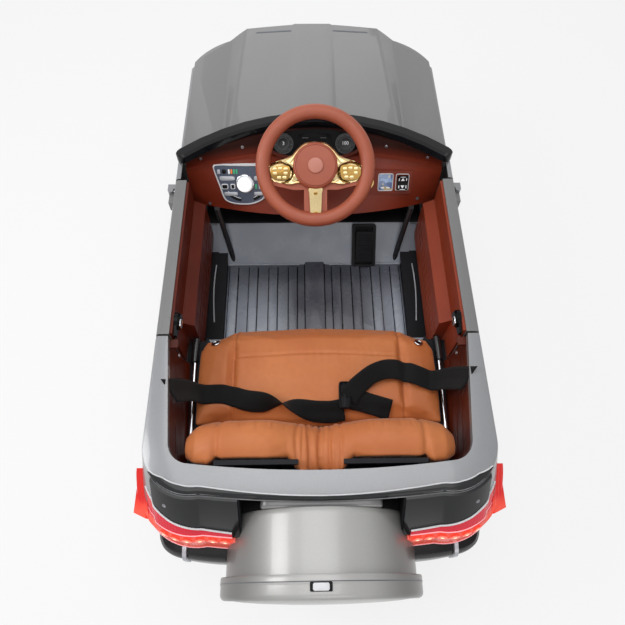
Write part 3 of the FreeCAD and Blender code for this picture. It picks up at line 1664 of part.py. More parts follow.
def make_spare_lid():
    front = drum_back_y + lid_lap
    back = lid_back_y
    def at(radius, y):
        return vec(radius, y, drum_z)
    round_turn = lid_round * (1 - math.cos(math.radians(45)))
    outline = wire(
        (at(0, back + lid_dish), at(lid_dish_radius - 2 * lid_dish, back + lid_dish)),
        (at(lid_dish_radius - 2 * lid_dish, back + lid_dish), at(lid_dish_radius, back)),
        (at(lid_dish_radius, back), at(lid_radius - lid_round, back)),
        (at(lid_radius - lid_round, back), at(lid_radius - round_turn, back + round_turn),
         at(lid_radius, back + lid_round)),
        (at(lid_radius, back + lid_round), at(lid_radius, front)),
        (at(lid_radius, front), at(lid_radius - lid_wall, front)),
        (at(lid_radius - lid_wall, front), at(lid_radius - lid_wall, drum_back_y - seat_gap)),
        (at(lid_radius - lid_wall, drum_back_y - seat_gap), at(lid_dish_radius, drum_back_y - seat_gap)),
        (at(lid_dish_radius, drum_back_y - seat_gap), at(lid_dish_radius, back + lid_dish + lid_wall)),
        (at(lid_dish_radius, back + lid_dish + lid_wall), at(0, back + lid_dish + lid_wall)),
        (at(0, back + lid_dish + lid_wall), at(0, back + lid_dish)),
    )
    lid = Part.Face(outline).revolve(vec(0, back, drum_z), vec(0, 1, 0), 360)
    hinge = lid_hinge_point()
    barrel = rod(lid_hinge_radius, hinge - vec(lid_hinge_half, 0, 0), hinge + vec(lid_hinge_half, 0, 0))
    arm = block(-lid_hinge_half, lid_hinge_half, front - lid_hinge_radius, hinge.y,
                hinge.z - lid_hinge_radius, drum_z - lid_radius + lid_wall / 2)
    arm = arm.cut(rod(lid_radius - lid_wall, vec(0, front - lid_hinge_radius, drum_z), vec(0, 0, drum_z)))
    bore = rod(lid_pin_radius + run_clearance, hinge - vec(span, 0, 0), hinge + vec(span, 0, 0))
    return lid.fuse([barrel, arm]).cut(bore).removeSplitter()


# Cabin tubes
def make_stays():
    foot = vec(stay_foot_x, stay_foot_y, stay_foot_y - toe_foot_y + floor_z)
    top = vec(stay_top_x, stay_top_y, dash_low_z)
    along = (top - foot).normalize() * overrun
    room = side_prism(((toe_foot_y, floor_z), (toe_top_y, front_deck_z), (toe_top_y + overrun, front_deck_z),
                       (toe_top_y + overrun, dash_low_z), (toe_foot_y, dash_low_z)), 0, span)
    dash_tube = rod(stay_radius, foot - along, top + along).common(room)
    seat_z = arch_cover_z + seat_sleeve_radius + seat_gap
    front = vec(seat_stay_x, seat_stay_front_y, seat_z)
    joint = vec(seat_stay_x, seat_sleeve_rear_y, seat_z)
    rear = vec(seat_stay_rear_x, seat_stay_rear_y, seat_z)
    seat_tube = rod(seat_sleeve_radius, front, joint).fuse(rod(seat_stay_radius, joint, rear))
    tubes = []
    for tube in (dash_tube, seat_tube):
        tubes += [tube, mirrored(tube)]
    return Part.makeCompound(tubes)


# Seat cushions: sections across the car, each a line and three arcs
def seat_section(x, setback, crown, tuck):
    front = seat_mid_front_y - setback * seat_setback
    low = arch_cover_z + 2 * seat_gap if tuck else deck_z + seat_gap
    middle = (low + seat_edge_z) / 2
    front_in = front - seat_bulge
    rear_in = seat_back_y + seat_bulge
    top_mid = vec(x, (front_in + rear_in) / 2, seat_edge_z + crown * seat_crown)
    return wire(
        (vec(x, rear_in, low), vec(x, front_in, low)),
        (vec(x, front_in, low), vec(x, front, middle), vec(x, front_in, seat_edge_z)),
        (vec(x, front_in, seat_edge_z), top_mid, vec(x, rear_in, seat_edge_z)),
        (vec(x, rear_in, seat_edge_z), vec(x, seat_back_y, middle), vec(x, rear_in, low)),
    )


def make_seat_base():
    # the outer sections are raised to lie over the arch covers
    cover = arch_cover_inner - 2 * seat_gap
    places = (0, seat_seam_x - seat_seam_width, seat_seam_x, seat_seam_x + seat_seam_width,
              arch_cover_inner - 2 * seat_seam_width, cover, seat_half)
    rows = [(x, setback, crown, x >= cover)
            for x, setback, crown in zip(places, seat_setback_shares, seat_crown_shares)]
    return Part.makeLoft([seat_section(*row) for row in both_sides(rows)], True, True)


def back_section(x, drop, thick):
    low = deck_z + seat_gap
    top = back_top_z - drop * back_valley
    pinch = (1 - thick) * back_thick / 2
    front = back_front_y - pinch
    rear = back_front_y - back_thick + pinch
    edge = top - back_round
    middle = vec(x, front - back_lean / 2 + back_swell, (low + edge) / 2)
    crest = vec(x, (front + rear) / 2 - back_lean, top)
    return wire(
        (vec(x, rear, low), vec(x, front, low)),
        (vec(x, front, low), middle, vec(x, front - back_lean, edge)),
        (vec(x, front - back_lean, edge), crest, vec(x, rear - back_lean, edge)),
        (vec(x, rear - back_lean, edge), vec(x, rear, low)),
    )


def make_seat_back():
    rows = [(share * back_hump_x, drop, thick) for share, drop, thick in back_shares]
    cushion = Part.makeLoft([back_section(*row) for row in both_sides(rows)], True, True)
    cover = block(arch_cover_inner - seat_gap, span, -far, far, 0, arch_cover_z + seat_gap)
    return cushion.cut([cover, mirrored(cover)]).removeSplitter()


def make_back_plates():
    low = deck_z + seat_gap
    edge = back_top_z - back_round

    def rear_y(z):
        return back_front_y - back_thick - back_lean * (z - low) / (edge - low) - seat_gap

    bottom = edge - back_plate_height
    points = ((rear_y(edge), edge), (rear_y(bottom), bottom),
              (rear_y(bottom) - back_plate_thick, bottom), (rear_y(edge) - back_plate_thick, edge))
    return pair(side_prism(points, back_plate_x - back_plate_half, back_plate_x + back_plate_half))


def strap(points):
    # flat webbing through the points, its width level and square to the run
    sections = []
    for index, point in enumerate(points):
        before = points[max(index - 1, 0)]
        after = points[min(index + 1, len(points) - 1)]
        along = (after - before).normalize()
        side = vec(-along.y, along.x, 0).normalize()
        face = along.cross(side)
        wide = side * (belt_width / 2)
        deep = face * (belt_thick / 2)
        corners = [point + wide + deep, point - wide + deep, point - wide - deep, point + wide - deep]
        sections.append(Part.makePolygon(corners + corners[:1]))
    return Part.makeLoft(sections, True, True)


def belt_points(rows):
    # rows are shares of the half width, the sway along the seat and the lift off it
    rest = seat_edge_z + seat_crown + belt_lift
    return [vec(x * belt_wall_half, belt_wall_y - y * belt_sway, rest + lift * (belt_wall_z - rest))
            for x, y, lift in rows]


def make_buckle():
    rest = seat_edge_z + buckle_lift
    shell = rounded_plate(buckle_half, buckle_half_length, rest, rest + buckle_thick, buckle_half / 3)
    upper = [edge for edge in shell.Edges if edge.BoundBox.ZMin > rest + buckle_thick / 2]
    shell = shell.makeChamfer(buckle_thick / 5, upper)
    shell.translate(vec(buckle_x, buckle_y, 0))
    return shell


# Export
door = make_door()
door_lining = make_door_lining()
door_latch = make_door_latch()
knuckle = make_knuckle()
nodes = {
    "floor_tub": make_floor_tub(),
    "side_trims": make_side_trims(),
    "front_shell": make_front_shell(),
    "rear_shell": make_rear_shell(),
    "rear_lining": make_rear_lining(),
    "bonnet": make_bonnet(),
    "cowl_trim": make_cowl_trim(),
    "front_bumper": make_front_bumper(),
    "grille": make_grille(),
    "headlights": make_headlights(),
    "dashboard": make_dashboard(),
    "gauge_panel": make_gauge_panel(),
    "media_panel": make_media_panel(),
    "media_knob": make_media_knob(),
    "display_panel": make_display_panel(),
    "start_button": make_start_button(),
    "drive_switch": make_drive_switch(),
    "rear_panel": make_rear_panel(),
    "rear_bumper": make_rear_bumper(),
    "rear_tray": make_rear_tray(),
    "spare_drum": make_spare_drum(),
    "spare_lid": make_spare_lid(),
    "seat_base": make_seat_base(),
    "seat_back": make_seat_back(),
    "seat_back_plates": make_back_plates(),
    "stay_tubes": make_stays(),
    "belt_left": strap(belt_points(belt_left_shares)),
    "belt_right": strap(belt_points(belt_right_shares)),
    "belt_buckle": make_buckle(),
    "pedal_housing": make_pedal_housing(),
    "pedal": make_pedal(),
    "steering_wheel": make_steering_wheel(),
    "steering_bezel": make_steering_bezel(),
    "steering_column": make_steering_column(),
    "wheel_key_left": make_wheel_key(-1),
    "wheel_key_right": make_wheel_key(1),
    "front_beam": make_front_beam(),
    "tie_rod": make_tie_rod(),
    "rear_axle": make_rear_axle(),
    "gearboxes": pair(make_gearbox()),
    "battery": make_battery(),
    "control_box": make_control_box(),
}
tail_light = make_tail_light()
sided = {
    "door": door,
    "door_lining": door_lining,
    "door_latch": door_latch,
    "tail_light": tail_light,
    "knuckle": knuckle,
}
for end, hub in (("front", front_hub), ("rear", rear_hub)):
    sided["tyre_" + end] = make_tyre(hub)
    sided["rim_" + end] = make_rim(hub)
for name, shape in sided.items():
    nodes[name + "_right"] = shape
    nodes[name + "_left"] = mirrored(shape)

os.makedirs("parts", exist_ok=True)
for name, shape in nodes.items():
    shape.exportStep("parts/" + name + ".step")
    print(name, "solids", len(shape.Solids), "volume", round(shape.Volume), "valid", shape.isValid())
print(len(nodes), "nodes")
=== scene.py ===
import json
import math
import bmesh
import bpy
import numpy as np
from mathutils import Matrix, Vector
from mathutils.bvhtree import BVHTree


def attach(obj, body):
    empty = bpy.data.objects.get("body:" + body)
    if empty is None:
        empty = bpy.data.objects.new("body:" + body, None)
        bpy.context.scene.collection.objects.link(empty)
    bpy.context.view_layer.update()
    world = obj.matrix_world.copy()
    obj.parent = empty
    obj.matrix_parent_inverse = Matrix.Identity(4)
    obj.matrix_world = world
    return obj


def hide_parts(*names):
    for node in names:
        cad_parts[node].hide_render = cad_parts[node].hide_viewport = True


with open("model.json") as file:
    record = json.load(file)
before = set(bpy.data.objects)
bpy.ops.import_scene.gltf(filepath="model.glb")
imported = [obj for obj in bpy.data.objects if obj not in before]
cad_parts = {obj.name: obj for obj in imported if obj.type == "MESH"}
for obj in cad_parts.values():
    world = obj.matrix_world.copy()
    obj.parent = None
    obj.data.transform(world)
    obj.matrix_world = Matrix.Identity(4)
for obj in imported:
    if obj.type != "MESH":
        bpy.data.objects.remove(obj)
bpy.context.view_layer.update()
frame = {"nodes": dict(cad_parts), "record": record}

nodes = frame["nodes"]
scene = bpy.context.scene
scene.view_settings.view_transform = "Standard"
mm = 0.001  # sizes below are millimetres
sides = (("left", -1), ("right", 1))
upward = (0, 0, 1)

# camera, lights and floor
photoView = dict(lens=31.392, eye=(-24.5, -665.0, 1316.0), pitch=62.8, yaw=1.74, roll=1.008)
studio = dict(  # metres and watts
    overhead=dict(spot=(-0.1, -0.1, 2.6), aim=(0.0, -0.1, 0.3), size=1.8, power=23.0),
    leftKey=dict(spot=(-1.9, -0.3, 1.9), aim=(0.0, -0.1, 0.35), size=0.9, power=19.0),
    rearFill=dict(spot=(0.2, -2.3, 1.6), aim=(0.0, -0.4, 0.3), size=1.4, power=8.0),
    noseFill=dict(spot=(-0.1, 2.4, 1.3), aim=(0.0, 0.4, 0.3), size=1.6, power=6.0),
)
skyLevel = 0.36  # world light on dull surfaces
floorHalf = 14.0  # metres


def makeCamera(view):
    pitch, yaw, roll = (math.radians(view[key]) for key in ("pitch", "yaw", "roll"))
    ahead = Vector((math.sin(yaw) * math.cos(pitch), math.cos(yaw) * math.cos(pitch), -math.sin(pitch)))
    level = Vector((math.cos(yaw), -math.sin(yaw), 0))
    above = level.cross(ahead)
    right = level * math.cos(roll) + above * math.sin(roll)
    up = above * math.cos(roll) - level * math.sin(roll)
    camera = bpy.data.objects.new("photoCamera", bpy.data.cameras.new("photoCamera"))
    camera.data.lens = view["lens"]
    camera.data.sensor_width = 36
    camera.data.clip_start = 0.02
    turn = Matrix((right, up, -ahead)).transposed().to_4x4()
    camera.matrix_world = Matrix.Translation(Vector(view["eye"]) * mm) @ turn
    scene.collection.objects.link(camera)
    scene.camera = camera


def makeLights():
    for name, light in studio.items():
        lamp = bpy.data.lights.new(name, "AREA")
        lamp.energy = light["power"]
        lamp.size = light["size"]
        holder = bpy.data.objects.new(name, lamp)
        holder.location = light["spot"]
        towards = Vector(light["aim"]) - Vector(light["spot"])
        holder.rotation_euler = towards.to_track_quat("-Z", "Y").to_euler()
        scene.collection.objects.link(holder)


def addNode(tree, kind, values=None, **settings):
    # one shader node: settings first, then sockets by name or number, linked or set
    made = tree.nodes.new(kind)
    for key, value in settings.items():
        setattr(made, key, value)
    for key, value in (values or {}).items():
        if isinstance(value, bpy.types.NodeSocket):
            tree.links.new(value, made.inputs[key])
        else:
            made.inputs[key].default_value = value
    return made


def seenDirectly(tree):
    # 1 for camera, mirror and see-through rays, 0 for the rest
    path = addNode(tree, "ShaderNodeLightPath")
    some = addNode(tree, "ShaderNodeMath",
                   {0: path.outputs["Is Camera Ray"], 1: path.outputs["Is Glossy Ray"]},
                   operation="MAXIMUM")
    return addNode(tree, "ShaderNodeMath", {0: some.outputs[0], 1: path.outputs["Is Transmission Ray"]},
                   operation="MAXIMUM").outputs[0]


def makeSurround():
    world = bpy.data.worlds.new("studioWhite")
    world.use_nodes = True
    scene.world = world
    tree = world.node_tree
    back = tree.nodes["Background"]
    level = addNode(tree, "ShaderNodeMapRange", {0: seenDirectly(tree), 3: skyLevel, 4: 1.0})
    back.inputs["Color"].default_value = (1, 1, 1, 1)
    tree.links.new(level.outputs[0], back.inputs["Strength"])
    mesh = bpy.data.meshes.new("studioFloor")
    corners = [(x * floorHalf, y * floorHalf, 0) for x, y in ((-1, -1), (1, -1), (1, 1), (-1, 1))]
    mesh.from_pydata(corners, [], [(0, 1, 2, 3)])
    floor = bpy.data.objects.new("studioFloor", mesh)
    scene.collection.objects.link(floor)
    material = bpy.data.materials.new("paleFloor")
    material.use_nodes = True
    tree = material.node_tree
    shader = tree.nodes["Principled BSDF"]
    shader.inputs["Base Color"].default_value = (0.8, 0.8, 0.8, 1)
    shader.inputs["Roughness"].default_value = 0.9
    shader.inputs["Specular IOR Level"].default_value = 0.0
    glow = addNode(tree, "ShaderNodeEmission", {"Strength": 1.0})
    share = addNode(tree, "ShaderNodeMath", {0: seenDirectly(tree), 1: 0.8}, operation="MULTIPLY")
    mix = addNode(tree, "ShaderNodeMixShader",
                  {0: share.outputs[0], 1: shader.outputs[0], 2: glow.outputs[0]})
    tree.links.new(mix.outputs[0], tree.nodes["Material Output"].inputs["Surface"])
    mesh.materials.append(material)


makeCamera(photoView)
makeLights()
makeSurround()
print("stage: camera, lights and floor")

# materials: tools
socketNames = dict(roughness="Roughness", metallic="Metallic", coat="Coat Weight",
                   coatRoughness="Coat Roughness",
                   specular="Specular IOR Level", sheen="Sheen Weight", sheenRoughness="Sheen Roughness",
                   glow="Emission Strength")


def screenColour(red, green, blue):
    # screen values from 0 to 255 to linear light
    part = np.array([red, green, blue]) / 255
    return tuple(np.where(part <= 0.04045, part / 12.92, ((part + 0.055) / 1.055) ** 2.4).tolist()) + (1.0,)


def shaderOf(material):
    return material.node_tree.nodes["Principled BSDF"]


def newMaterial(name, base, **values):
    material = bpy.data.materials.new(name)
    material.use_nodes = True
    inputs = shaderOf(material).inputs
    inputs["Base Color"].default_value = screenColour(*base)
    for key, value in values.items():
        inputs[socketNames[key]].default_value = value
    return material


def litMaterial(name, base, light=None, **values):
    # glows in its own colour or in a given one
    material = newMaterial(name, base, **values)
    shaderOf(material).inputs["Emission Color"].default_value = screenColour(*(light or base))
    return material


def wire(material, output, socket):
    material.node_tree.links.new(output, shaderOf(material).inputs[socket])


def objectPoint(material):
    return addNode(material.node_tree, "ShaderNodeTexCoord").outputs["Object"]


def mapped(material, value, low, high, **settings):
    # a value brought to 0..1 between two of its levels
    return addNode(material.node_tree, "ShaderNodeMapRange", {0: value, 1: low, 2: high},
                   **settings).outputs[0]


def drift(material, scale, low, high):
    # soft noise
    noise = addNode(material.node_tree, "ShaderNodeTexNoise",
                    {"Vector": objectPoint(material), "Scale": scale, "Detail": 4.0})
    return mapped(material, noise.outputs["Fac"], low, high)


def tints(material, factor, first, second):
    # colour between two, each a screen colour or another tint
    mix = addNode(material.node_tree, "ShaderNodeMix", {0: factor}, data_type="RGBA")
    for number, tint in ((6, first), (7, second)):
        if isinstance(tint, bpy.types.NodeSocket):
            material.node_tree.links.new(tint, mix.inputs[number])
        else:
            mix.inputs[number].default_value = screenColour(*tint)
    return mix.outputs[2]


def shade(material, factor, tint):
    # another colour over the present one where the factor is 1
    base = shaderOf(material).inputs["Base Color"].links[0].from_socket
    wire(material, tints(material, factor, base, tint), "Base Color")


def relief(material, height, strength, depth):
    bump = addNode(material.node_tree, "ShaderNodeBump",
                   {"Height": height, "Strength": strength, "Distance": depth})
    wire(material, bump.outputs["Normal"], "Normal")


def grain(material, scale, strength, depth):
    # fine relief from noise
    texture = addNode(material.node_tree, "ShaderNodeTexNoise",
                      {"Vector": objectPoint(material), "Scale": scale, "Detail": 5.0})
    relief(material, texture.outputs["Fac"], strength, depth)


def flutes(material, scale, strength, depth):
    # even ribs across the car
    waves = addNode(material.node_tree, "ShaderNodeTexWave",
                    {"Vector": objectPoint(material), "Scale": scale},
                    bands_direction="X")
    relief(material, waves.outputs["Fac"], strength, depth)
    return waves.outputs["Fac"]


def gloss(material, scale, low, high):
    # roughness that drifts as handled plastic does
    spread = drift(material, scale, 0.3, 0.7)
    level = addNode(material.node_tree, "ShaderNodeMapRange", {0: spread, 3: low, 4: high})
    wire(material, level.outputs[0], "Roughness")


def edgeLight(material, amount):
    # painted edge highlight: the amount where the surface turns sharply outwards
    tree = material.node_tree
    point = addNode(tree, "ShaderNodeNewGeometry").outputs["Pointiness"]
    return addNode(tree, "ShaderNodeMapRange", {0: point, 1: 0.52, 2: 0.6, 3: 0.0, 4: amount}).outputs[0]


def heightOver(material, plate, level):
    # 1 above a level over a panel's plane, 0 below it
    centre, out = (np.array(plates[plate][key]) for key in ("centre", "out"))
    tree = material.node_tree
    away = addNode(tree, "ShaderNodeVectorMath", {0: objectPoint(material), 1: tuple(centre * mm)},
                   operation="SUBTRACT")
    rise = addNode(tree, "ShaderNodeVectorMath", {0: away.outputs[0], 1: tuple(out)}, operation="DOT_PRODUCT")
    return addNode(tree, "ShaderNodeMath", {0: rise.outputs["Value"], 1: level * mm},
                   operation="GREATER_THAN").outputs[0]


def alongAxis(material, axis):
    return addNode(material.node_tree, "ShaderNodeSeparateXYZ", {0: objectPoint(material)}).outputs[axis]


def axisOver(material, axis, level, width):
    # 1 above a level along one of the car's axes, with a short soft step
    return mapped(material, alongAxis(material, axis), (level - width) * mm, (level + width) * mm)


def axisRamp(material, value, low, high):
    return mapped(material, value, low * mm, high * mm, interpolation_type="SMOOTHSTEP")


def panelPlane(centre, lean):
    # plane of a panel that faces the driver, leaning back from upright
    turn = math.radians(lean)
    return dict(centre=centre, up=(0, math.sin(turn), math.cos(turn)),
                out=(0, -math.cos(turn), math.sin(turn)))


plates = dict(
    media=panelPlane((-166.0, 171.5, 349.0), 32),
    display=panelPlane((162.0, 168.807, 345.0), 32),
    gauge=panelPlane((0.0, 228.8, 404.0), 45),
    wheel=panelPlane((0.0, 121.0, 450.0), 55),
)


def plastic(name, base, other, rough, depth=0.12, scale=900.0, edgeHighlight=None, **values):
    # moulded plastic: two close tints, fine spark grain, drifting gloss, paler edges painted as a highlight
    material = newMaterial(name, base, **values)
    wire(material, tints(material, drift(material, 9.0, 0.35, 0.65), base, other), "Base Color")
    # paler colour on sharp edges: painted highlight
    if edgeHighlight:
        colour, amount = edgeHighlight
        shade(material, edgeLight(material, amount), colour)
    gloss(material, 25.0, *rough)
    grain(material, scale, depth, 0.0004)
    return material


def flakePaint(name, base, other, coat=0.55, **values):
    # coated metallic paint: fine bright flakes under a smooth clear coat
    material = newMaterial(name, base, coat=coat, coatRoughness=0.06, **values)
    tree = material.node_tree
    cells = addNode(tree, "ShaderNodeTexVoronoi", {"Vector": objectPoint(material), "Scale": 2600.0})
    spark = addNode(tree, "ShaderNodeSeparateColor", {0: cells.outputs["Color"]})
    flake = addNode(tree, "ShaderNodeMapRange", {0: spark.outputs[0], 1: 0.55, 2: 1.0, 3: 0.0, 4: 0.5})
    wire(material, tints(material, flake.outputs[0], base, other), "Base Color")
    gloss(material, 6.0, 0.3, 0.4)
    grain(material, 60.0, 0.05, 0.0006)
    return material


def drumPaint():
    # silver drum with painted shade: darker on its flanks, and the boss ahead of it darkened as painted shade
    material = flakePaint("drumPaint", (166, 165, 163), (186, 185, 183), coat=0.3, metallic=0.15)
    away = addNode(material.node_tree, "ShaderNodeMath", {0: alongAxis(material, 0)}, operation="ABSOLUTE")
    # painted shade on the flanks
    shade(material, axisRamp(material, away.outputs[0], 60.0, 150.0), (112, 111, 109))
    # painted shade over the boss ahead of the drum
    shade(material, axisOver(material, 1, -540.5, 1.0), (104, 103, 104))
    return material


def twoLevel(material, plate, level, tint, metal):
    # one moulding in two finishes: what stands over the level is plated
    over = heightOver(material, plate, level)
    shade(material, over, tint)
    plated = addNode(material.node_tree, "ShaderNodeMath", {0: over, 1: metal}, operation="MULTIPLY")
    wire(material, plated.outputs[0], "Metallic")
    return material


def makeLeather():
    # tan leatherette: cell grain, warmer patches, soft sheen
    material = newMaterial("tanLeather", (198, 118, 66), roughness=0.5, specular=0.4, sheen=0.15,
                           sheenRoughness=0.4)
    patches = tints(material, drift(material, 7.0, 0.35, 0.65), (203, 122, 68), (190, 108, 58))
    wire(material, tints(material, drift(material, 90.0, 0.3, 1.6), patches, (184, 102, 55)), "Base Color")
    gloss(material, 30.0, 0.42, 0.58)
    cells = addNode(material.node_tree, "ShaderNodeTexVoronoi",
                    {"Vector": objectPoint(material), "Scale": 520.0},
                    feature="DISTANCE_TO_EDGE")
    relief(material, mapped(material, cells.outputs["Distance"], 0.0, 0.25), 0.22, 0.0006)
    return material


def makeWebbing():
    # woven strap: ribs across and along on the strap's own map
    material = newMaterial("blackWebbing", (12, 12, 13), roughness=0.75, specular=0.2, sheen=0.06,
                           sheenRoughness=0.5)
    tree = material.node_tree
    strap = addNode(tree, "ShaderNodeUVMap", uv_map="strap")
    ribs = []
    for scale, way in ((157.0, "X"), (262.0, "Y")):
        waves = addNode(tree, "ShaderNodeTexWave",
                        {"Vector": strap.outputs[0], "Scale": scale, "Distortion": 0.4}, bands_direction=way)
        ribs.append(waves.outputs["Fac"])
    weave = addNode(tree, "ShaderNodeMath", {0: ribs[0], 1: ribs[1]}, operation="MULTIPLY").outputs[0]
    wire(material, tints(material, weave, (5, 5, 6), (17, 17, 18)), "Base Color")
    relief(material, weave, 0.6, 0.0006)
    return material


def makeTailRed():
    # lit lens with fine flutes: crimson upper strip, salmon lower band, plain red side wedge
    material = newMaterial("tailRed", (214, 34, 40), roughness=0.16, coat=0.12, specular=0.25, glow=0.3)
    band = tints(material, axisOver(material, 2, 326.0, 3.0), (234, 84, 66), (204, 14, 44))
    lens = tints(material, axisOver(material, 1, -522.0, 12.0), band, (206, 34, 28))
    wire(material, lens, "Base Color")
    wire(material, lens, "Emission Color")
    flutes(material, 60.0, 0.25, 0.0008)
    return material


def makeLampClear():
    # clear fluted lens over a silver bowl
    material = newMaterial("clearLamp", (214, 217, 222), roughness=0.08, metallic=0.35, coat=0.8,
                           coatRoughness=0.03)
    ribs = flutes(material, 48.0, 0.5, 0.001)
    wire(material, tints(material, ribs, (188, 192, 198), (226, 229, 233)), "Base Color")
    return material


# materials: one for each slot of the record, then small ones
def makeFinishes():
    mediaFace = plastic("mediaFaceBezel", (62, 70, 88), (52, 60, 78), (0.2, 0.32), depth=0.05)
    return dict(
        body_paint=flakePaint("greyShellPaint", (134, 135, 138), (160, 161, 164), metallic=0.2),
        bonnet_paint=flakePaint("greyBonnetPaint", (112, 112, 112), (132, 132, 133), metallic=0.25),
        black_trim=plastic("blackTrim", (15, 15, 17), (21, 21, 24), (0.42, 0.58), edgeHighlight=((44, 44, 48), 0.35),
                           specular=0.12),
        brown_lining=plastic("brownLining", (126, 46, 24), (112, 38, 19), (0.34, 0.48), depth=0.1,
                             edgeHighlight=((160, 72, 44), 0.4), specular=0.28),
        floor_grey=plastic("floorGrey", (128, 134, 144), (123, 129, 139), (0.24, 0.4), depth=0.06,
                           edgeHighlight=((168, 172, 180), 0.4)),
        black_gloss=plastic("blackGloss", (9, 9, 10), (14, 14, 16), (0.14, 0.24), depth=0.02, specular=0.1),
        panel_face=twoLevel(mediaFace, "media", 5.3, (206, 208, 212), 0.8),
        gold_trim=plastic("goldTrim", (210, 190, 144), (196, 174, 128), (0.14, 0.24), depth=0.02,
                          metallic=1.0),
        lit_knob=newMaterial("litKnob", (236, 238, 240), roughness=0.3, glow=0.55),
        wheel_rim=plastic("terracottaWheel", (170, 88, 62), (158, 78, 54), (0.42, 0.55), depth=0.2,
                          scale=700.0,
                          edgeHighlight=((196, 112, 84), 0.4)),
        bare_steel=plastic("zincSteel", (176, 178, 182), (150, 152, 158), (0.28, 0.42), depth=0.1,
                           metallic=0.95),
        black_steel=plastic("blackEnamel", (30, 30, 32), (40, 40, 43), (0.18, 0.3), depth=0.08, coat=0.3),
        tyre=plastic("blownTyre", (28, 28, 29), (38, 38, 39), (0.55, 0.75), depth=0.3, scale=500.0,
                     edgeHighlight=((70, 70, 71), 0.6)),
        rim=plastic("silverRim", (182, 183, 187), (168, 169, 174), (0.22, 0.36), depth=0.05, metallic=0.75),
        tail_panel=plastic("tailPanel", (38, 39, 40), (31, 32, 34), (0.08, 0.16), depth=0.02, coat=0.08,
                           specular=0.25),
        drum_silver=drumPaint(),
        tan_leather=makeLeather(),
        webbing=makeWebbing(),
        tail_red=makeTailRed(),
        lamp_clear=makeLampClear(),
    )


def makeExtras():
    return dict(
        chrome=plastic("chromePlate", (214, 216, 220), (198, 200, 205), (0.08, 0.16), depth=0.02,
                       metallic=1.0),
        screwSteel=plastic("screwSteel", (150, 150, 154), (120, 120, 126), (0.25, 0.4), depth=0.1,
                           metallic=0.9),
        paleLine=plastic("paleEdgeLine", (226, 227, 229), (214, 215, 218), (0.25, 0.4), depth=0.05),
        buttonSilver=plastic("buttonSilver", (186, 189, 194), (172, 175, 181), (0.25, 0.4), depth=0.06,
                             metallic=0.4),
        dialBlack=plastic("dialBlack", (14, 15, 18), (22, 24, 28), (0.3, 0.45), depth=0.06),
        goldDeep=plastic("goldDeep", (164, 132, 74), (140, 108, 56), (0.16, 0.26), depth=0.03, metallic=1.0),
        dialGrey=plastic("dialGrey", (104, 106, 110), (90, 92, 96), (0.35, 0.5), depth=0.04),
        mediaBlue=plastic("mediaFaceBlue", (66, 76, 98), (54, 63, 84), (0.2, 0.32), depth=0.04),
        # white printed marks with a painted glow
        markWhite=litMaterial("markWhite", (228, 230, 233), roughness=0.4, glow=0.25),
        markGreen=litMaterial("markGreen", (46, 158, 110), roughness=0.35, glow=0.3),
        markOrange=litMaterial("markOrange", (222, 120, 50), roughness=0.35, glow=0.3),
        stitch=plastic("tanThread", (166, 92, 50), (150, 80, 42), (0.6, 0.75), depth=0.3, scale=2500.0),
        lampGlow=litMaterial("lampGlow", (250, 104, 84), roughness=0.3, glow=0.5),
        hotSpot=litMaterial("lampHotSpot", (255, 206, 172), (255, 190, 150), roughness=0.3, glow=1.2),
        pinkLine=litMaterial("lampPinkLine", (240, 170, 176), roughness=0.3, glow=0.35),
        bumperBlack=plastic("bumperBlack", (16, 14, 15), (24, 21, 22), (0.18, 0.3), depth=0.03, coat=0.05,
                            specular=0.15),
        lipGrey=plastic("lipGrey", (88, 93, 101), (80, 85, 93), (0.25, 0.4), depth=0.03),
        # darker copy of the brown lining for the rear lining: painted shade
        rearShadedBrown=plastic("rearLiningShadedBrown", (92, 34, 18), (80, 28, 14), (0.3, 0.44), depth=0.08,
                          specular=0.22),
        bossPink=plastic("bossDisc", (196, 128, 110), (188, 118, 100), (0.35, 0.5), depth=0.12),
        screen=screenGlass(),
        tread=floorTint(),
    )


def screenGlass():
    # lit picture of plain colour fields under smooth glass
    material = newMaterial("screenGlass", (60, 84, 130), roughness=0.08, coat=0.6, glow=0.3)
    tree = material.node_tree
    cells = addNode(tree, "ShaderNodeTexVoronoi", {"Vector": objectPoint(material), "Scale": 95.0},
                    distance="CHEBYCHEV")
    parts = addNode(tree, "ShaderNodeSeparateColor", {0: cells.outputs["Color"]})
    cool = tints(material, parts.outputs[0], (44, 66, 118), (122, 148, 186))
    warm = tints(material, mapped(material, parts.outputs[1], 0.7, 0.75), cool, (176, 160, 120))
    wire(material, warm, "Base Color")
    wire(material, warm, "Emission Color")
    return material


def floorTint():
    # pale at the seat end and the sides, with painted shade under the dashboard and a painted dark reflection
    # along the middle
    material = plastic("floorTread", (150, 156, 168), (144, 150, 162), (0.2, 0.34), depth=0.05)
    # painted shade towards the dashboard
    shade(material, axisRamp(material, alongAxis(material, 1), -100.0, 55.0), (84, 88, 97))
    left = axisRamp(material, alongAxis(material, 0), -110.0, -30.0)
    right = axisRamp(material, alongAxis(material, 0), 190.0, 100.0)
    middle = addNode(material.node_tree, "ShaderNodeMath", {0: left, 1: right}, operation="MULTIPLY")
    # painted dark reflection along the middle
    shade(material, middle.outputs[0], (70, 72, 80))
    return material


finishes = makeFinishes()
extras = makeExtras()
print("finishes:", len(finishes), "slots and", len(extras), "small finishes")


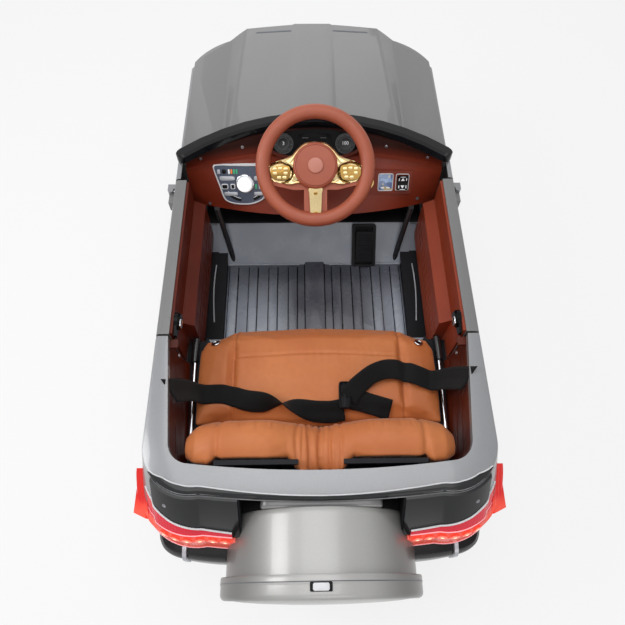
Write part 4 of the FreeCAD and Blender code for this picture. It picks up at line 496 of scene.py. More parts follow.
# CAD nodes: finish and smooth shading
def makeSmoothing(limit):
    # touching corners join, faces shade smooth, edges over the limit stay sharp
    tree = bpy.data.node_groups.new("smoothFaces", "GeometryNodeTree")
    tree.interface.new_socket("Geometry", in_out="INPUT", socket_type="NodeSocketGeometry")
    tree.interface.new_socket("Geometry", in_out="OUTPUT", socket_type="NodeSocketGeometry")
    start = tree.nodes.new("NodeGroupInput")
    end = tree.nodes.new("NodeGroupOutput")
    bare = addNode(tree, "GeometryNodeRemoveAttribute",
                   {"Geometry": start.outputs[0], "Name": "custom_normal"})
    merge = addNode(tree, "GeometryNodeMergeByDistance", {"Geometry": bare.outputs[0], "Distance": 0.00001})
    faces = addNode(tree, "GeometryNodeSetShadeSmooth", {0: merge.outputs[0]}, domain="FACE")
    angle = addNode(tree, "GeometryNodeInputMeshEdgeAngle")
    over = addNode(tree, "FunctionNodeCompare", {0: angle.outputs[0], 1: math.radians(limit)},
                   data_type="FLOAT", operation="GREATER_THAN")
    edges = addNode(tree, "GeometryNodeSetShadeSmooth", {0: faces.outputs[0], 1: over.outputs[0], 2: False},
                    domain="EDGE")
    tree.links.new(edges.outputs[0], end.inputs[0])
    return tree


def ownFinishes():
    # nodes that look different from the rest of their slot
    panel = plastic("displayBrownGold", (126, 46, 24), (112, 38, 19), (0.34, 0.48), depth=0.08, specular=0.28)
    dash = plastic("dashBrown", (130, 48, 26), (116, 40, 21), (0.34, 0.48), depth=0.08, specular=0.28)
    shade(dash, axisOver(dash, 2, 390.0, 16.0), (40, 11, 6))  # painted shade on the ledge under the cowl
    door = flakePaint("doorPaint", (112, 112, 112), (134, 134, 135), metallic=0.2)
    return dict(
        display_panel=twoLevel(panel, "display", 5.4, (200, 172, 112), 1.0),
        cowl_trim=plastic("cowlBlack", (17, 18, 21), (13, 14, 17), (0.1, 0.18), depth=0.02, coat=0.12,
                          specular=0.25),
        dashboard=dash,
        door_left=door,
        door_right=door,
        door_lining_left=plastic("shadedBrown", (96, 33, 16), (84, 27, 13), (0.34, 0.48), depth=0.1,
                                 specular=0.22),
    )


smoothFaces = makeSmoothing(32)
for part in frame["record"]["subparts"]:
    carried = nodes[part["node"]]
    carried.data.materials.clear()
    carried.data.materials.append(finishes[part["material_slot"]])
    carried.modifiers.new("smoothFaces", "NODES").node_group = smoothFaces
for node, finish in ownFinishes().items():
    nodes[node].data.materials[0] = finish
print("nodes finished:", len(nodes))


# helpers for new pieces
coats = {**finishes, **extras}
boxFaces = np.array([(0, 1, 2, 3), (7, 6, 5, 4), (0, 4, 5, 1), (1, 5, 6, 2), (2, 6, 7, 3), (3, 7, 4, 0)])


def gridFaces(rows, columns, closedRows=False, closedColumns=False):
    # each cell of the grid is one quad, and a closed way wraps to its first line
    i, j = np.meshgrid(np.arange(rows if closedRows else rows - 1),
                       np.arange(columns if closedColumns else columns - 1), indexing="ij")
    down, across = (i + 1) % rows, (j + 1) % columns
    corners = [i * columns + j, i * columns + across, down * columns + across, down * columns + j]
    return np.stack(corners, -1).reshape(-1, 4)


def joined(shapes):
    # several point and face sets as one
    counts = np.cumsum([0] + [len(points) for points, faces in shapes])
    return (np.concatenate([points for points, faces in shapes]),
            np.concatenate([faces + count for (points, faces), count in zip(shapes, counts)]))


def placed(name, mesh, slot, coat=None, body="car_body", replaced=None):
    # a finished mesh joins the scene: it rides a body, has a slot and wears a coat
    piece = bpy.data.objects.new(name, mesh)
    scene.collection.objects.link(piece)
    mesh.materials.append(coats[coat or slot])
    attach(piece, body)
    if replaced:
        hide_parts(replaced)
    return piece


def newPiece(name, shapes, slot, coat=None, body="car_body", plane=None, sharp=40, strap=None, replaced=None):
    # piece from one shape or a list of them, in millimetres; doubles merge, faces turn outwards
    points, faces = joined(shapes) if isinstance(shapes, list) else shapes
    if plane:
        points, faces = onPlane((points, faces), plane)
    mesh = bpy.data.meshes.new(name)
    mesh.from_pydata((np.asarray(points) * mm).tolist(), [], np.asarray(faces).tolist())
    if strap is not None:
        corner = np.zeros(len(mesh.loops), np.int32)
        mesh.loops.foreach_get("vertex_index", corner)
        layer = mesh.uv_layers.new(name="strap")
        layer.data.foreach_set("uv", np.asarray(strap, np.float32)[corner].ravel())
    work = bmesh.new()
    work.from_mesh(mesh)
    bmesh.ops.remove_doubles(work, verts=work.verts, dist=0.00001)
    bmesh.ops.recalc_face_normals(work, faces=work.faces)
    work.to_mesh(mesh)
    work.free()
    mesh.shade_smooth()
    mesh.set_sharp_from_angle(angle=math.radians(sharp))
    return placed(name, mesh, slot, coat, body, replaced)


def onPlane(shape, plane):
    # right, up and out of a plane to the car's frame
    points, faces = shape
    up, out = np.array(plane["up"], float), np.array(plane["out"], float)
    axes = np.stack([np.cross(up, out), up, out])
    return np.asarray(points, float) @ axes + np.array(plane["centre"], float), faces


def planeAt(spot, out, up=upward):
    # plane at a point, square to a direction
    out = Vector(out).normalized()
    up = Vector(up)
    up = (up - out * up.dot(out)).normalized() if abs(out.dot(up)) < 0.95 else Vector((0, 1, 0)) - out * out.y
    return dict(centre=tuple(spot), up=tuple(up.normalized()), out=tuple(out))


def places(x, y, z):
    # points from coordinates, of which some may be single numbers
    return np.stack(np.broadcast_arrays(x, y, z), 1)


def unit(rows):
    return rows / np.linalg.norm(rows, axis=1, keepdims=True)


def fullTurn(count):
    return np.linspace(0, 2 * math.pi, count, endpoint=False)


def insetLine(outline, distance):
    # closed outline moved inwards along its own normals
    ahead = np.roll(outline, -1, 0) - np.roll(outline, 1, 0)
    ahead /= np.linalg.norm(ahead, axis=1, keepdims=True) + 1e-9
    return outline + distance * np.stack([-ahead[:, 1], ahead[:, 0]], 1)


def ovalLine(halfX, halfY, count, power=2.0, x=0.0, y=0.0):
    # superellipse, anticlockwise: higher powers are squarer
    c, s = np.cos(fullTurn(count)), np.sin(fullTurn(count))
    return np.stack([x + halfX * np.sign(c) * np.abs(c) ** (2 / power),
                     y + halfY * np.sign(s) * np.abs(s) ** (2 / power)], 1)


def boxLine(left, right, low, high, corner=3.0):
    # rectangle with cut corners
    return np.array([(left + corner, low), (right - corner, low), (right, low + corner),
                     (right, high - corner),
                     (right - corner, high), (left + corner, high), (left, high - corner),
                     (left, low + corner)])


def cubic(points, slopes, i, j, f):
    # smooth pieces from points i to points j with the slopes there, at the share f of the way
    return ((2 * f ** 3 - 3 * f ** 2 + 1) * points[i] + (f ** 3 - 2 * f ** 2 + f) * slopes[i]
            + (3 * f ** 2 - 2 * f ** 3) * points[j] + (f ** 3 - f ** 2) * slopes[j])


def smoothStations(stations, count):
    # open curve through the stations
    stations = np.array(stations, float)
    t = np.linspace(0, len(stations) - 1, count)
    i = np.minimum(t.astype(int), len(stations) - 2)
    return cubic(stations, np.gradient(stations, axis=0), i, i + 1, (t - i)[:, None])


def closedCurve(corners, count):
    # closed curve through the corners
    corners = np.asarray(corners, float)
    slopes = (np.roll(corners, -1, 0) - np.roll(corners, 1, 0)) / 2
    t = np.linspace(0, len(corners), count, endpoint=False)
    i = t.astype(int)
    return cubic(corners, slopes, i, (i + 1) % len(corners), (t - i)[:, None])


def slab(outline, low, high, edge):
    # wall up to a quarter-round edge, closed on the middle above and below
    turn = np.linspace(0, math.pi / 2, 4)
    rings = [(0.0, low)] + list(zip(edge * (1 - np.cos(turn)), high - edge + edge * np.sin(turn)))
    rows = [np.column_stack([insetLine(outline, away), np.full(len(outline), z)]) for away, z in rings]
    middle = outline.mean(0)
    foot, head = (np.tile([middle[0], middle[1], z], (len(outline), 1)) for z in (low, high))
    rows = [foot] + rows + [head]
    return np.concatenate(rows), gridFaces(len(rows), len(outline), closedColumns=True)


def pads(entries, low, high, edge, count, power=5.0, trim=0.0):
    # rounded plates, each from its x, y and half sizes
    return [slab(ovalLine(w - trim, h - trim, count, power, x, y), low, high, edge) for x, y, w, h in entries]


def frameRing(outline, width, low, high, edge):
    # flat rim between an outline and the same line moved in
    inner = insetLine(outline, width)
    rings = ((outline, low), (outline, high - edge), (insetLine(outline, edge), high),
             (insetLine(inner, -edge), high), (inner, high - edge), (inner, low))
    rows = [np.column_stack([line, np.full(len(line), z)]) for line, z in rings]
    return np.concatenate(rows), gridFaces(len(rows), len(outline), True, True)


def turned(profile, count, x=0.0, y=0.0):
    # radius and height pairs turned about the plane's normal
    turn = fullTurn(count)
    radius, height = np.array(profile, float).T
    points = np.stack([x + radius[:, None] * np.cos(turn), y + radius[:, None] * np.sin(turn),
                       np.repeat(height[:, None], count, 1)], -1)
    return points.reshape(-1, 3), gridFaces(len(profile), count, closedColumns=True)


def swept(path, up, section):
    # section of side and up offsets carried along a path; both ends close on the section's middle
    ahead = unit(np.gradient(path, axis=0))
    side = unit(np.cross(ahead, up))
    over = np.cross(side, ahead)
    section = np.asarray(section, float)
    rows = path[:, None] + side[:, None] * section[None, :, :1] + over[:, None] * section[None, :, 1:]
    start, end = (np.broadcast_to(row.mean(1, keepdims=True), row.shape) for row in (rows[:1], rows[-1:]))
    rows = np.concatenate([start, rows, end])
    return rows.reshape(-1, 3), gridFaces(len(rows), len(section), closedColumns=True)


def bead(path, radius, count=8):
    # round bar along a path
    turn = fullTurn(count)
    return swept(path, upward, np.stack([radius * np.cos(turn), radius * np.sin(turn)], 1))


def taper(foot, head, low, high):
    # section of a strip that narrows upwards
    return [(-foot, low), (foot, low), (head, high), (-head, high)]


def meshSpots(mesh):
    # points as the mesh keeps them, in metres
    spot = np.zeros(len(mesh.vertices) * 3, np.float32)
    mesh.vertices.foreach_get("co", spot)
    return spot.reshape(-1, 3)


def meshPoints(mesh):
    return meshSpots(mesh).astype(float) / mm


def meshNormals(mesh):
    normal = np.zeros(len(mesh.vertices) * 3, np.float32)
    mesh.vertex_normals.foreach_get("vector", normal)
    return normal.reshape(-1, 3).astype(float)


def meshTriangles(mesh):
    mesh.calc_loop_triangles()
    corners = np.zeros(len(mesh.loop_triangles) * 3, np.int32)
    mesh.loop_triangles.foreach_get("vertices", corners)
    return corners.reshape(-1, 3)


def surfaceOf(*pieces):
    # search tree over CAD nodes or finished pieces, in millimetres
    meshes = [(nodes[piece] if isinstance(piece, str) else piece).data for piece in pieces]
    points, faces = joined([(meshSpots(mesh) / mm, meshTriangles(mesh)) for mesh in meshes])
    return BVHTree.FromPolygons(points.tolist(), faces.tolist())


def landOn(tree, spot, along, reach):
    # first surface met from a point along a direction: place and outward normal
    along = Vector(along).normalized()
    place, normal = tree.ray_cast(Vector(spot), along, reach)[:2]
    if place is None:
        place, normal = tree.find_nearest(Vector(spot))[:2]
    if normal.dot(along) > 0:
        normal = -normal
    return place, normal


def dropOn(tree, points, along=(0, 0, -1), reach=400.0):
    # landing places of many points, kept where they were if nothing is met
    starts = np.asarray(points).tolist()
    hits = [tree.ray_cast(Vector(start), Vector(along), reach)[0] for start in starts]
    return np.array([start if hit is None else hit for hit, start in zip(hits, starts)])


def screwHead(radius, lift=1.2):
    # domed head with a cross recess on a polar grid
    rings, spokes = 9, 32
    r, a = np.meshgrid(np.linspace(0, 1, rings), fullTurn(spokes), indexing="ij")
    x, y = radius * r * np.cos(a), radius * r * np.sin(a)
    z = lift * (1 - 0.55 * r ** 2)
    arm = (np.minimum(np.abs(x), np.abs(y)) < 0.16 * radius) & (np.hypot(x, y) < 0.62 * radius)
    points = np.stack([x, y, np.where(arm, z - 0.6 * lift, z)], -1)
    skirt = points[-1:].copy()
    skirt[..., 2] = -1.0
    points = np.concatenate([points, skirt])
    return points.reshape(-1, 3), gridFaces(rings + 1, spokes, closedColumns=True)


# seat cushions
seatPad = dict(voxel=5.0, shrink=3.0, press=3.5, cap=7.0, frames=16, heldUnder=262.0, fullness=0.75,
               seamX=169.0, seamY=-236.0, seamDepth=2.6, seamWidth=2.6, seamBow=3.0, bowLength=60.0,
               pucker=0.55, puckerPitch=15.0, puckerReach=9.0, gather=0.4, gatherReach=8.0, slack=0.5)
backPad = dict(voxel=5.0, shrink=3.0, press=3.0, cap=7.0, frames=16, heldUnder=272.0, heldFacing=-0.7,
               fullness=0.8,
               freeOver=268.0, creaseX=174.0, creaseDepth=4.0, creaseWidth=6.0, foldDepth=5.0, foldHalf=50.0,
               folds=((-41, 0.55, 3.4), (-31, 0.35, 2.4), (-23, 0.95, 2.8), (-13, 0.45, 2.4), (-3, 1.0, 2.4),
                      (7, 0.4, 2.6), (16, 0.8, 3.0), (26, 0.35, 2.4), (36, 0.6, 3.2)),
               puckers=13, puckerStart=52, puckerPitch=9.5, puckerWidth=3.2, puckerReach=13, edgeY=-405.0,
               edgeZ=404.0,
               valleyBack=26.0, endBack=10.0, valley=(34, 56, 176, 190), slack=0.5)


def setPoints(mesh, points):
    mesh.vertices.foreach_set("co", (points * mm).astype(np.float32).ravel())
    mesh.update()


def applied(piece):
    # modifiers become the mesh
    bpy.context.view_layer.update()
    made = bpy.data.meshes.new_from_object(piece.evaluated_get(bpy.context.evaluated_depsgraph_get()))
    piece.modifiers.clear()
    piece.data = made
    return made


def softCopy(name, node, pad):
    # closed copy of a CAD cushion on an even net, drawn in a little for the filling
    mesh = nodes[node].data.copy()
    work = bmesh.new()
    work.from_mesh(mesh)
    bmesh.ops.remove_doubles(work, verts=work.verts, dist=0.00002)
    work.to_mesh(mesh)
    work.free()
    piece = bpy.data.objects.new(name, mesh)
    scene.collection.objects.link(piece)
    net = piece.modifiers.new("net", "REMESH")
    net.mode = "VOXEL"
    net.voxel_size = pad["voxel"] * mm
    even = piece.modifiers.new("even", "SMOOTH")
    even.factor = 0.5
    even.iterations = 4
    mesh = applied(piece)
    setPoints(mesh, meshPoints(mesh) - pad["shrink"] * meshNormals(mesh))
    return piece


def fill(piece, held, pad):
    # cloth skin under pressure, no weight, its travel capped
    group = piece.vertex_groups.new(name="held")
    group.add(np.flatnonzero(held).tolist(), 1.0, "REPLACE")
    skin = piece.modifiers.new("cloth", "CLOTH").settings
    skin.quality = 6
    skin.mass = 0.4
    skin.tension_stiffness = skin.compression_stiffness = 12.0
    skin.shear_stiffness = 6.0
    skin.bending_stiffness = 1.5
    skin.use_pressure = True
    skin.uniform_pressure_force = pad["press"]
    skin.effector_weights.gravity = 0.0
    skin.vertex_group_mass = "held"
    start = meshPoints(piece.data)
    for number in range(1, pad["frames"] + 1):
        scene.frame_set(number)
    swollen = piece.evaluated_get(bpy.context.evaluated_depsgraph_get())
    step = meshPoints(swollen.data) - start
    length = np.linalg.norm(step, axis=1, keepdims=True)
    piece.modifiers.clear()
    piece.vertex_groups.clear()
    scene.frame_set(1)
    setPoints(piece.data, start + step * np.minimum(1, pad["cap"] / np.maximum(length, 1e-6)))


def finer(piece):
    smooth = piece.modifiers.new("finer", "SUBSURF")
    smooth.levels = smooth.render_levels = 1
    return applied(piece)


def ditch(distance, depth, width):
    # narrow groove with a low swell on both sides
    return depth * (0.35 * np.exp(-(distance / (4 * width)) ** 2) - np.exp(-(distance / width) ** 2))


def seamBow(x):
    # the cross seam of the seat bows forward in the middle
    return seatPad["seamBow"] * np.cos(x / seatPad["bowLength"])


def dressSeat(piece, pad):
    # side seams with puckers, cross seam with gathers, slack in the cover
    mesh = finer(piece)
    points, normals = meshPoints(mesh), meshNormals(mesh)
    x, y, z = points.T
    top = np.clip((normals[:, 2] - 0.15) / 0.4, 0, 1) + np.clip((normals[:, 1] - 0.4) / 0.4, 0, 1)
    lift = 0
    for side, sign in sides:
        away = x - sign * pad["seamX"]
        waves = np.sin(2 * math.pi * y / pad["puckerPitch"] + sign)
        lift = lift + ditch(away, pad["seamDepth"], pad["seamWidth"])
        lift = lift + pad["pucker"] * waves * np.exp(-np.abs(away) / pad["puckerReach"])
    inside = np.clip((pad["seamX"] + 1 - np.abs(x)) / 2, 0, 1)
    away = y - pad["seamY"] - seamBow(x)
    waves = np.sin(x / 2.7 + np.sin(x / 17))
    lift = lift + inside * ditch(away, 0.75 * pad["seamDepth"], pad["seamWidth"])
    lift = lift + inside * pad["gather"] * waves * np.exp(-np.abs(away) / pad["gatherReach"])
    lift = lift + pad["slack"] * np.sin(x / 31 + y / 23) * np.sin(y / 19 - x / 47)
    setPoints(mesh, points + normals * (lift * np.clip(top, 0, 1))[:, None])


def dressBack(piece, pad):
    # creases at the ends, gathers in the valley, puckers along the front edge, slack in the cover
    mesh = finer(piece)
    points, normals = meshPoints(mesh), meshNormals(mesh)
    x, y, z = points.T
    lift = 0
    for side, sign in sides:
        crease = sign * (pad["creaseX"] + 3 * np.sin(z / 20))
        lift = lift + ditch(x - crease, pad["creaseDepth"], pad["creaseWidth"])
    for place, depth, width in pad["folds"]:  # gathers wander a little as they rise
        line = place + 2.4 * np.sin(z / 21 + place) + 1.5 * np.sin(y / 13 + 2 * place)
        lift = lift + ditch(x - line, depth * pad["foldDepth"], width)
    lift = lift * np.where(np.abs(x) < 120, np.clip((pad["foldHalf"] + 8 - np.abs(x)) / 10, 0, 1), 1)
    edge = np.hypot(y - pad["edgeY"], z - pad["edgeZ"])
    for number in range(pad["puckers"]):
        place = pad["puckerStart"] + pad["puckerPitch"] * number
        depth = 1.1 + 0.8 * math.sin(2.3 * number)
        for side, sign in sides:
            lean = 3 * math.sin(1.7 * number + sign)
            away = (x - sign * place - lean * edge / 20) / pad["puckerWidth"]
            lift = lift - depth * np.exp(-away ** 2 - (edge / pad["puckerReach"]) ** 2)
    lift = lift + pad["slack"] * np.sin(x / 33 + z / 17) * np.sin(y / 15 - x / 51)
    free = np.clip((z - pad["freeOver"]) / 12, 0, 1)
    points = points + normals * (lift * free)[:, None]
    drawn = np.interp(np.abs(x), pad["valley"], (pad["valleyBack"], 0, 0, pad["endBack"]))
    points[:, 1] -= np.interp(y, (-455, -405), (1, 0)) * drawn
    setPoints(mesh, points)


def finishCushion(piece, node):
    piece.data.materials.clear()
    piece.data.materials.append(finishes["tan_leather"])
    piece.data.shade_smooth()
    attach(piece, "car_body")
    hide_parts(node)


seatCushion = softCopy("seatCushion", "seat_base", seatPad)
backCushion = softCopy("backCushion", "seat_back", backPad)
fill(seatCushion, meshPoints(seatCushion.data)[:, 2] < seatPad["heldUnder"], seatPad)
rearward = meshNormals(backCushion.data)[:, 1] < backPad["heldFacing"]
fill(backCushion, (meshPoints(backCushion.data)[:, 2] < backPad["heldUnder"]) | rearward, backPad)
dressSeat(seatCushion, seatPad)
dressBack(backCushion, backPad)
finishCushion(seatCushion, "seat_base")
finishCushion(backCushion, "seat_back")
cushionTop = surfaceOf(seatCushion, backCushion)
print("cushions:", len(seatCushion.data.polygons), "and", len(backCushion.data.polygons), "faces")

# stitches and eyelets
stitchRow = dict(pitch=5.0, half=1.7, thick=0.55, away=4.2, lift=0.15, rings=5, spokes=6,
                 sideY=(-352, -186), endX=160)
eyelet = dict(spots=((-208.7, -205.0), (208.7, -210.0)), outer=9.5, inner=5.0, height=2.2, rise=2.2)
overSeat = 420.0  # height from which things drop on the cushions


def stitchRun(path):
    # one small capsule at each point, lying along the path
    ahead = unit(np.gradient(path, axis=0))
    side = np.cross(ahead, upward)
    over = np.cross(side, ahead)
    rings, spokes = stitchRow["rings"], stitchRow["spokes"]
    rise, turn = np.meshgrid(np.linspace(-math.pi / 2, math.pi / 2, rings), fullTurn(spokes), indexing="ij")
    a = stitchRow["half"] * np.sin(rise).ravel()
    b = stitchRow["thick"] * (np.cos(rise) * np.cos(turn)).ravel()
    c = stitchRow["thick"] * (np.cos(rise) * np.sin(turn)).ravel()
    points = (path[:, None] + ahead[:, None] * a[None, :, None] + side[:, None] * b[None, :, None]
              + over[:, None] * c[None, :, None])
    first = np.arange(len(path)) * rings * spokes
    faces = gridFaces(rings, spokes, closedColumns=True)[None] + first[:, None, None]
    return points.reshape(-1, 3), faces.reshape(-1, 4)


def seatStitches():
    y = np.arange(*stitchRow["sideY"], stitchRow["pitch"])
    x = np.arange(-stitchRow["endX"], stitchRow["endX"] + 1, stitchRow["pitch"])
    runs = [places(sign * (seatPad["seamX"] - stitchRow["away"]), y, overSeat) for side, sign in sides]
    runs.append(places(x, seatPad["seamY"] + seamBow(x) - stitchRow["away"], overSeat))
    seat = surfaceOf(seatCushion)
    shapes = [stitchRun(dropOn(seat, run) + [0, 0, stitchRow["lift"]]) for run in runs]
    newPiece("seatStitches", shapes, "tan_leather", "stitch", sharp=80)


def seatEyelets():
    rings, holes = [], []
    turn = np.linspace(0, 2 * math.pi, 13)
    middle, half = (eyelet["outer"] + eyelet["inner"]) / 2, (eyelet["outer"] - eyelet["inner"]) / 2
    profile = np.stack([middle + half * np.cos(turn), eyelet["height"] * np.sin(turn) * 0.6 + 0.4], 1)
    hole = eyelet["inner"] + 0.6
    for x, y in eyelet["spots"]:
        place, normal = landOn(cushionTop, (x, y, overSeat), (0, 0, -1), 300)
        plane = planeAt(np.array(place) + eyelet["rise"] * np.array(normal), normal)
        rings.append(onPlane(turned(profile, 32), plane))
        holes.append(onPlane(slab(ovalLine(hole, hole, 24), -4.0, 0.5, 0.2), plane))
    newPiece("seatEyelets", rings, "bare_steel", "chrome", sharp=60)
    newPiece("seatEyeletSlots", holes, "black_gloss")


seatStitches()
seatEyelets()

# lap belt: straps lie on the cushion, with one turn over and a loose tail
strapSize = dict(half=19.0, thick=1.5, across=9, along=96, tailAlong=24, lift=1.6, above=560.0,
                 missed=500.0, low=240.0,
                 wallX=226.0, wallZ=292.0, wallRise=60.0, wallRun=26.0)
strapRuns = dict(  # x, y, height over the cushion, twist
    left=((-266, -344, 0, -4), (-236, -322, 1, 4), (-186, -318, 0, 0), (-142, -331, 0, 10),
          (-108, -338, 2, 40),
          (-78, -341, 1, 90), (-48, -345, 2, 140), (-14, -351, 0, 172), (22, -353, 1, 180),
          (50, -350, 3, 184)),
    right=((268, -328, 0, 4), (238, -305, 4, -4), (196, -290, 12, -10), (166, -281, 14, -12),
           (136, -279, 14, -24),
           (108, -288, 12, -34), (86, -303, 9, -30), (68, -319, 7, -14), (58, -334, 5, 0)),
)
strapTail = ((62, -332, 4, 0), (84, -336, 3, 4), (112, -344, 3, -4), (140, -352, 2, 0))


def strapGround(flat):
    # heights under the strap: the cushion, then the side wall, eased so that the strap bridges hollows
    s = strapSize
    over = np.concatenate([flat, np.full(flat.shape[:2] + (1,), s["above"])], -1)
    ground = dropOn(cushionTop, over.reshape(-1, 3))[:, 2].reshape(flat.shape[:2])
    ground = np.where(ground > s["missed"], s["low"], ground)
    beyond = np.abs(flat[..., 0]) - s["wallX"]
    wall = s["wallZ"] + beyond * s["wallRise"] / s["wallRun"]
    ground = np.where(beyond > 0, np.maximum(ground, wall), ground)
    ground = 0.5 * ground + 0.5 * np.maximum(ground, ground.mean(1, keepdims=True))
    for again in range(3):
        ground[1:-1] = np.maximum(ground[1:-1], (ground[:-2] + ground[1:-1] + ground[2:]) / 3)
    return ground


def strapShape(stations, count):
    # ribbon: across is level or turned over by the twist, heights follow the cushion
    run = smoothStations(stations, count)
    ahead = unit(np.gradient(run[:, :2], axis=0))
    side = np.stack([-ahead[:, 1], ahead[:, 0]], 1)
    twist = np.radians(run[:, 3])[:, None]
    across = np.linspace(-1, 1, strapSize["across"]) * strapSize["half"]
    flat = run[:, None, :2] + side[:, None] * (np.cos(twist) * across)[..., None]
    height = (strapGround(flat) + strapSize["lift"] + run[:, None, 2] + np.sin(twist) * across
              + strapSize["half"] * np.abs(np.sin(twist)) * 0.9)
    points = np.concatenate([flat, height[..., None]], -1)
    middle = points[:, strapSize["across"] // 2]
    length = np.concatenate([[0], np.cumsum(np.linalg.norm(np.diff(middle, axis=0), axis=1))])
    strap = np.stack(np.broadcast_arrays(across[None] * mm, length[:, None] * mm), -1)
    return points.reshape(-1, 3), gridFaces(count, strapSize["across"]), strap.reshape(-1, 2), length[-1]


def makeStrap(name, stations, count, replaced=None):
    points, faces, strap, length = strapShape(stations, count)
    piece = newPiece(name, (points, faces), "webbing", sharp=80, strap=strap, replaced=replaced)
    thick = piece.modifiers.new("thick", "SOLIDIFY")
    thick.thickness = strapSize["thick"] * mm
    thick.offset = 0.0
    print(name, round(length), "mm")


for side, stations in strapRuns.items():
    makeStrap("beltStrap_" + side, stations, strapSize["along"], "belt_" + side)
makeStrap("beltTail", strapTail, strapSize["tailAlong"])

# gauges behind the steering wheel
gauge = dict(
    dials=(-69.0, 69.0), figures=("3", "100"), figureSize=10.5, rims=((21.9, 0.9), (13.0, 0.55)),
    face=((0, 4.1), (11, 4.1), (11.6, 4.5), (21.8, 4.3), (21.8, 3.6), (0, 3.6)),
    ticks=29, major=4, sweep=(225.0, -45.0), outer=19.6, inner=17.4, longer=1.6, halves=(0.42, 0.22),
    levels=(4.4, 4.75),
    window=(0.0, 0.0, 38, 22), bars=((-20, 12, 7, 0.6), (20, 12, 7, 0.6), (0, -13, 14, 0.6), (0, 4, 5, 0.6)),
)


def tickMarks(x):
    # short bars on an arc, every fourth one longer and wider
    number = np.arange(gauge["ticks"])
    turn = np.radians(np.linspace(*gauge["sweep"], gauge["ticks"]))
    major = number % gauge["major"] == 0
    inner = np.where(major, gauge["inner"] - gauge["longer"], gauge["inner"])
    half = np.where(major, *gauge["halves"])
    corner = np.array([(0, -1), (1, -1), (1, 1), (0, 1)], float)
    reach = inner[:, None] + (gauge["outer"] - inner)[:, None] * corner[None, :, 0]
    offset = half[:, None] * corner[None, :, 1]
    c, s = np.cos(turn)[:, None], np.sin(turn)[:, None]
    flat = np.stack([x + reach * c - offset * s, reach * s + offset * c], -1)
    level = np.stack([np.full(flat.shape[:2], z) for z in gauge["levels"]], 1)
    points = np.concatenate([np.repeat(flat[:, None], 2, 1), level[..., None]], -1)
    return points.reshape(-1, 3), (boxFaces[None] + 8 * number[:, None, None]).reshape(-1, 4)


def numberPiece(name, entries, slot, coat, plane):
    # plain figures made a mesh, laid on a panel's plane: text, size, x, y, z
    work = bmesh.new()
    up, out = Vector(plane["up"]), Vector(plane["out"])
    axes = Matrix((up.cross(out), up, out)).transposed().to_4x4()
    base = Matrix.Translation(Vector(plane["centre"]) * mm) @ axes
    for text, size, x, y, z in entries:
        curve = bpy.data.curves.new(name, "FONT")
        curve.body = text
        curve.size = size * mm
        curve.align_x, curve.align_y = "CENTER", "CENTER"
        curve.extrude = 0.15 * mm
        holder = bpy.data.objects.new(name, curve)
        scene.collection.objects.link(holder)
        bpy.context.view_layer.update()
        mesh = bpy.data.meshes.new_from_object(holder.evaluated_get(bpy.context.evaluated_depsgraph_get()))
        mesh.transform(base @ Matrix.Translation(Vector((x, y, z)) * mm))
        work.from_mesh(mesh)
        bpy.data.objects.remove(holder)
    mesh = bpy.data.meshes.new(name)
    bmesh.ops.recalc_face_normals(work, faces=work.faces)
    work.to_mesh(mesh)
    work.free()
    placed(name, mesh, slot, coat)


def makeGauges():
    plane, dials = plates["gauge"], gauge["dials"]
    rims = [frameRing(ovalLine(outer, outer, 40, x=x), width, 4.2, 4.9, 0.15)
            for x in dials for outer, width in gauge["rims"]]
    faces = [turned(gauge["face"], 40, x) for x in dials]
    newPiece("gaugeDials", faces, "black_gloss", "dialBlack", plane=plane)
    newPiece("gaugeTicks", [tickMarks(x) for x in dials], "bare_steel", "dialGrey", plane=plane)
    newPiece("gaugeRims", rims, "bare_steel", "dialGrey", plane=plane)
    figures = [(text, gauge["figureSize"], x, 0.2, 4.5) for text, x in zip(gauge["figures"], dials)]
    numberPiece("gaugeFigures", figures, "bare_steel", "markWhite", plane)
    newPiece("gaugeWindow", pads([gauge["window"]], 3.6, 4.5, 0.4, 40), "black_gloss", plane=plane)
    newPiece("gaugeBars", pads(gauge["bars"], 4.3, 4.8, 0.15, 12, 6.0), "bare_steel", "dialGrey", plane=plane)


# player panel at the left: wider face over the moulding, bezel, buttons and knob collar
media = dict(
    knob=(8.0, -6.0), hole=18.4, top=8.0, bezel=3.6, deep=14,
    outline=((-61, 31), (-56, 38), (-20, 38.5), (20, 38), (54, 36), (60, 30), (59, 0), (55, -30), (46, -44),
             (25, -53),
             (4, -55), (-18, -53), (-35, -47), (-43, -37), (-50, -12)),
    buttons=((-31.0, 7.2, 17.0, 5.0), (-25.0, -28.6, 15.5, 4.4), (38.0, 7.2, 8.5, 5.0),
             (38.0, -28.6, 10.0, 4.4),
             (-49.0, 22.5, 3.2, 5.2)),
    keys=((-37.5, -11.6, 7.6, 6.2), (-19.5, -11.6, 5.2, 6.2), (44.0, -11.6, 5.0, 6.2)),
    eye=(-37.0, 22.5, 5.2, 5.2), barHalf=(1.9, 5.4),
    bars=dict(White=((-26.0, 22.5),), Orange=((-20.4, 22.5),),
              Green=((-14.6, 22.5), (-8.8, 22.5), (33.0, -11.6))),
    collar=((17.9, -1), (17.9, 0.6), (18.6, 1.2), (20.4, 1.0), (21.2, 0.2), (21.2, -1), (17.9, -1)),
    cap=((0, 17.4), (12, 17.2), (15.5, 16.6), (16.8, 15.4), (16.8, 6.0), (0, 6.0)),
    wedges=((-150.0, -104.0), (-66.0, -30.0)), wedgeOval=(8, -8, 45, 37), wedgeEdge=4.3,
)


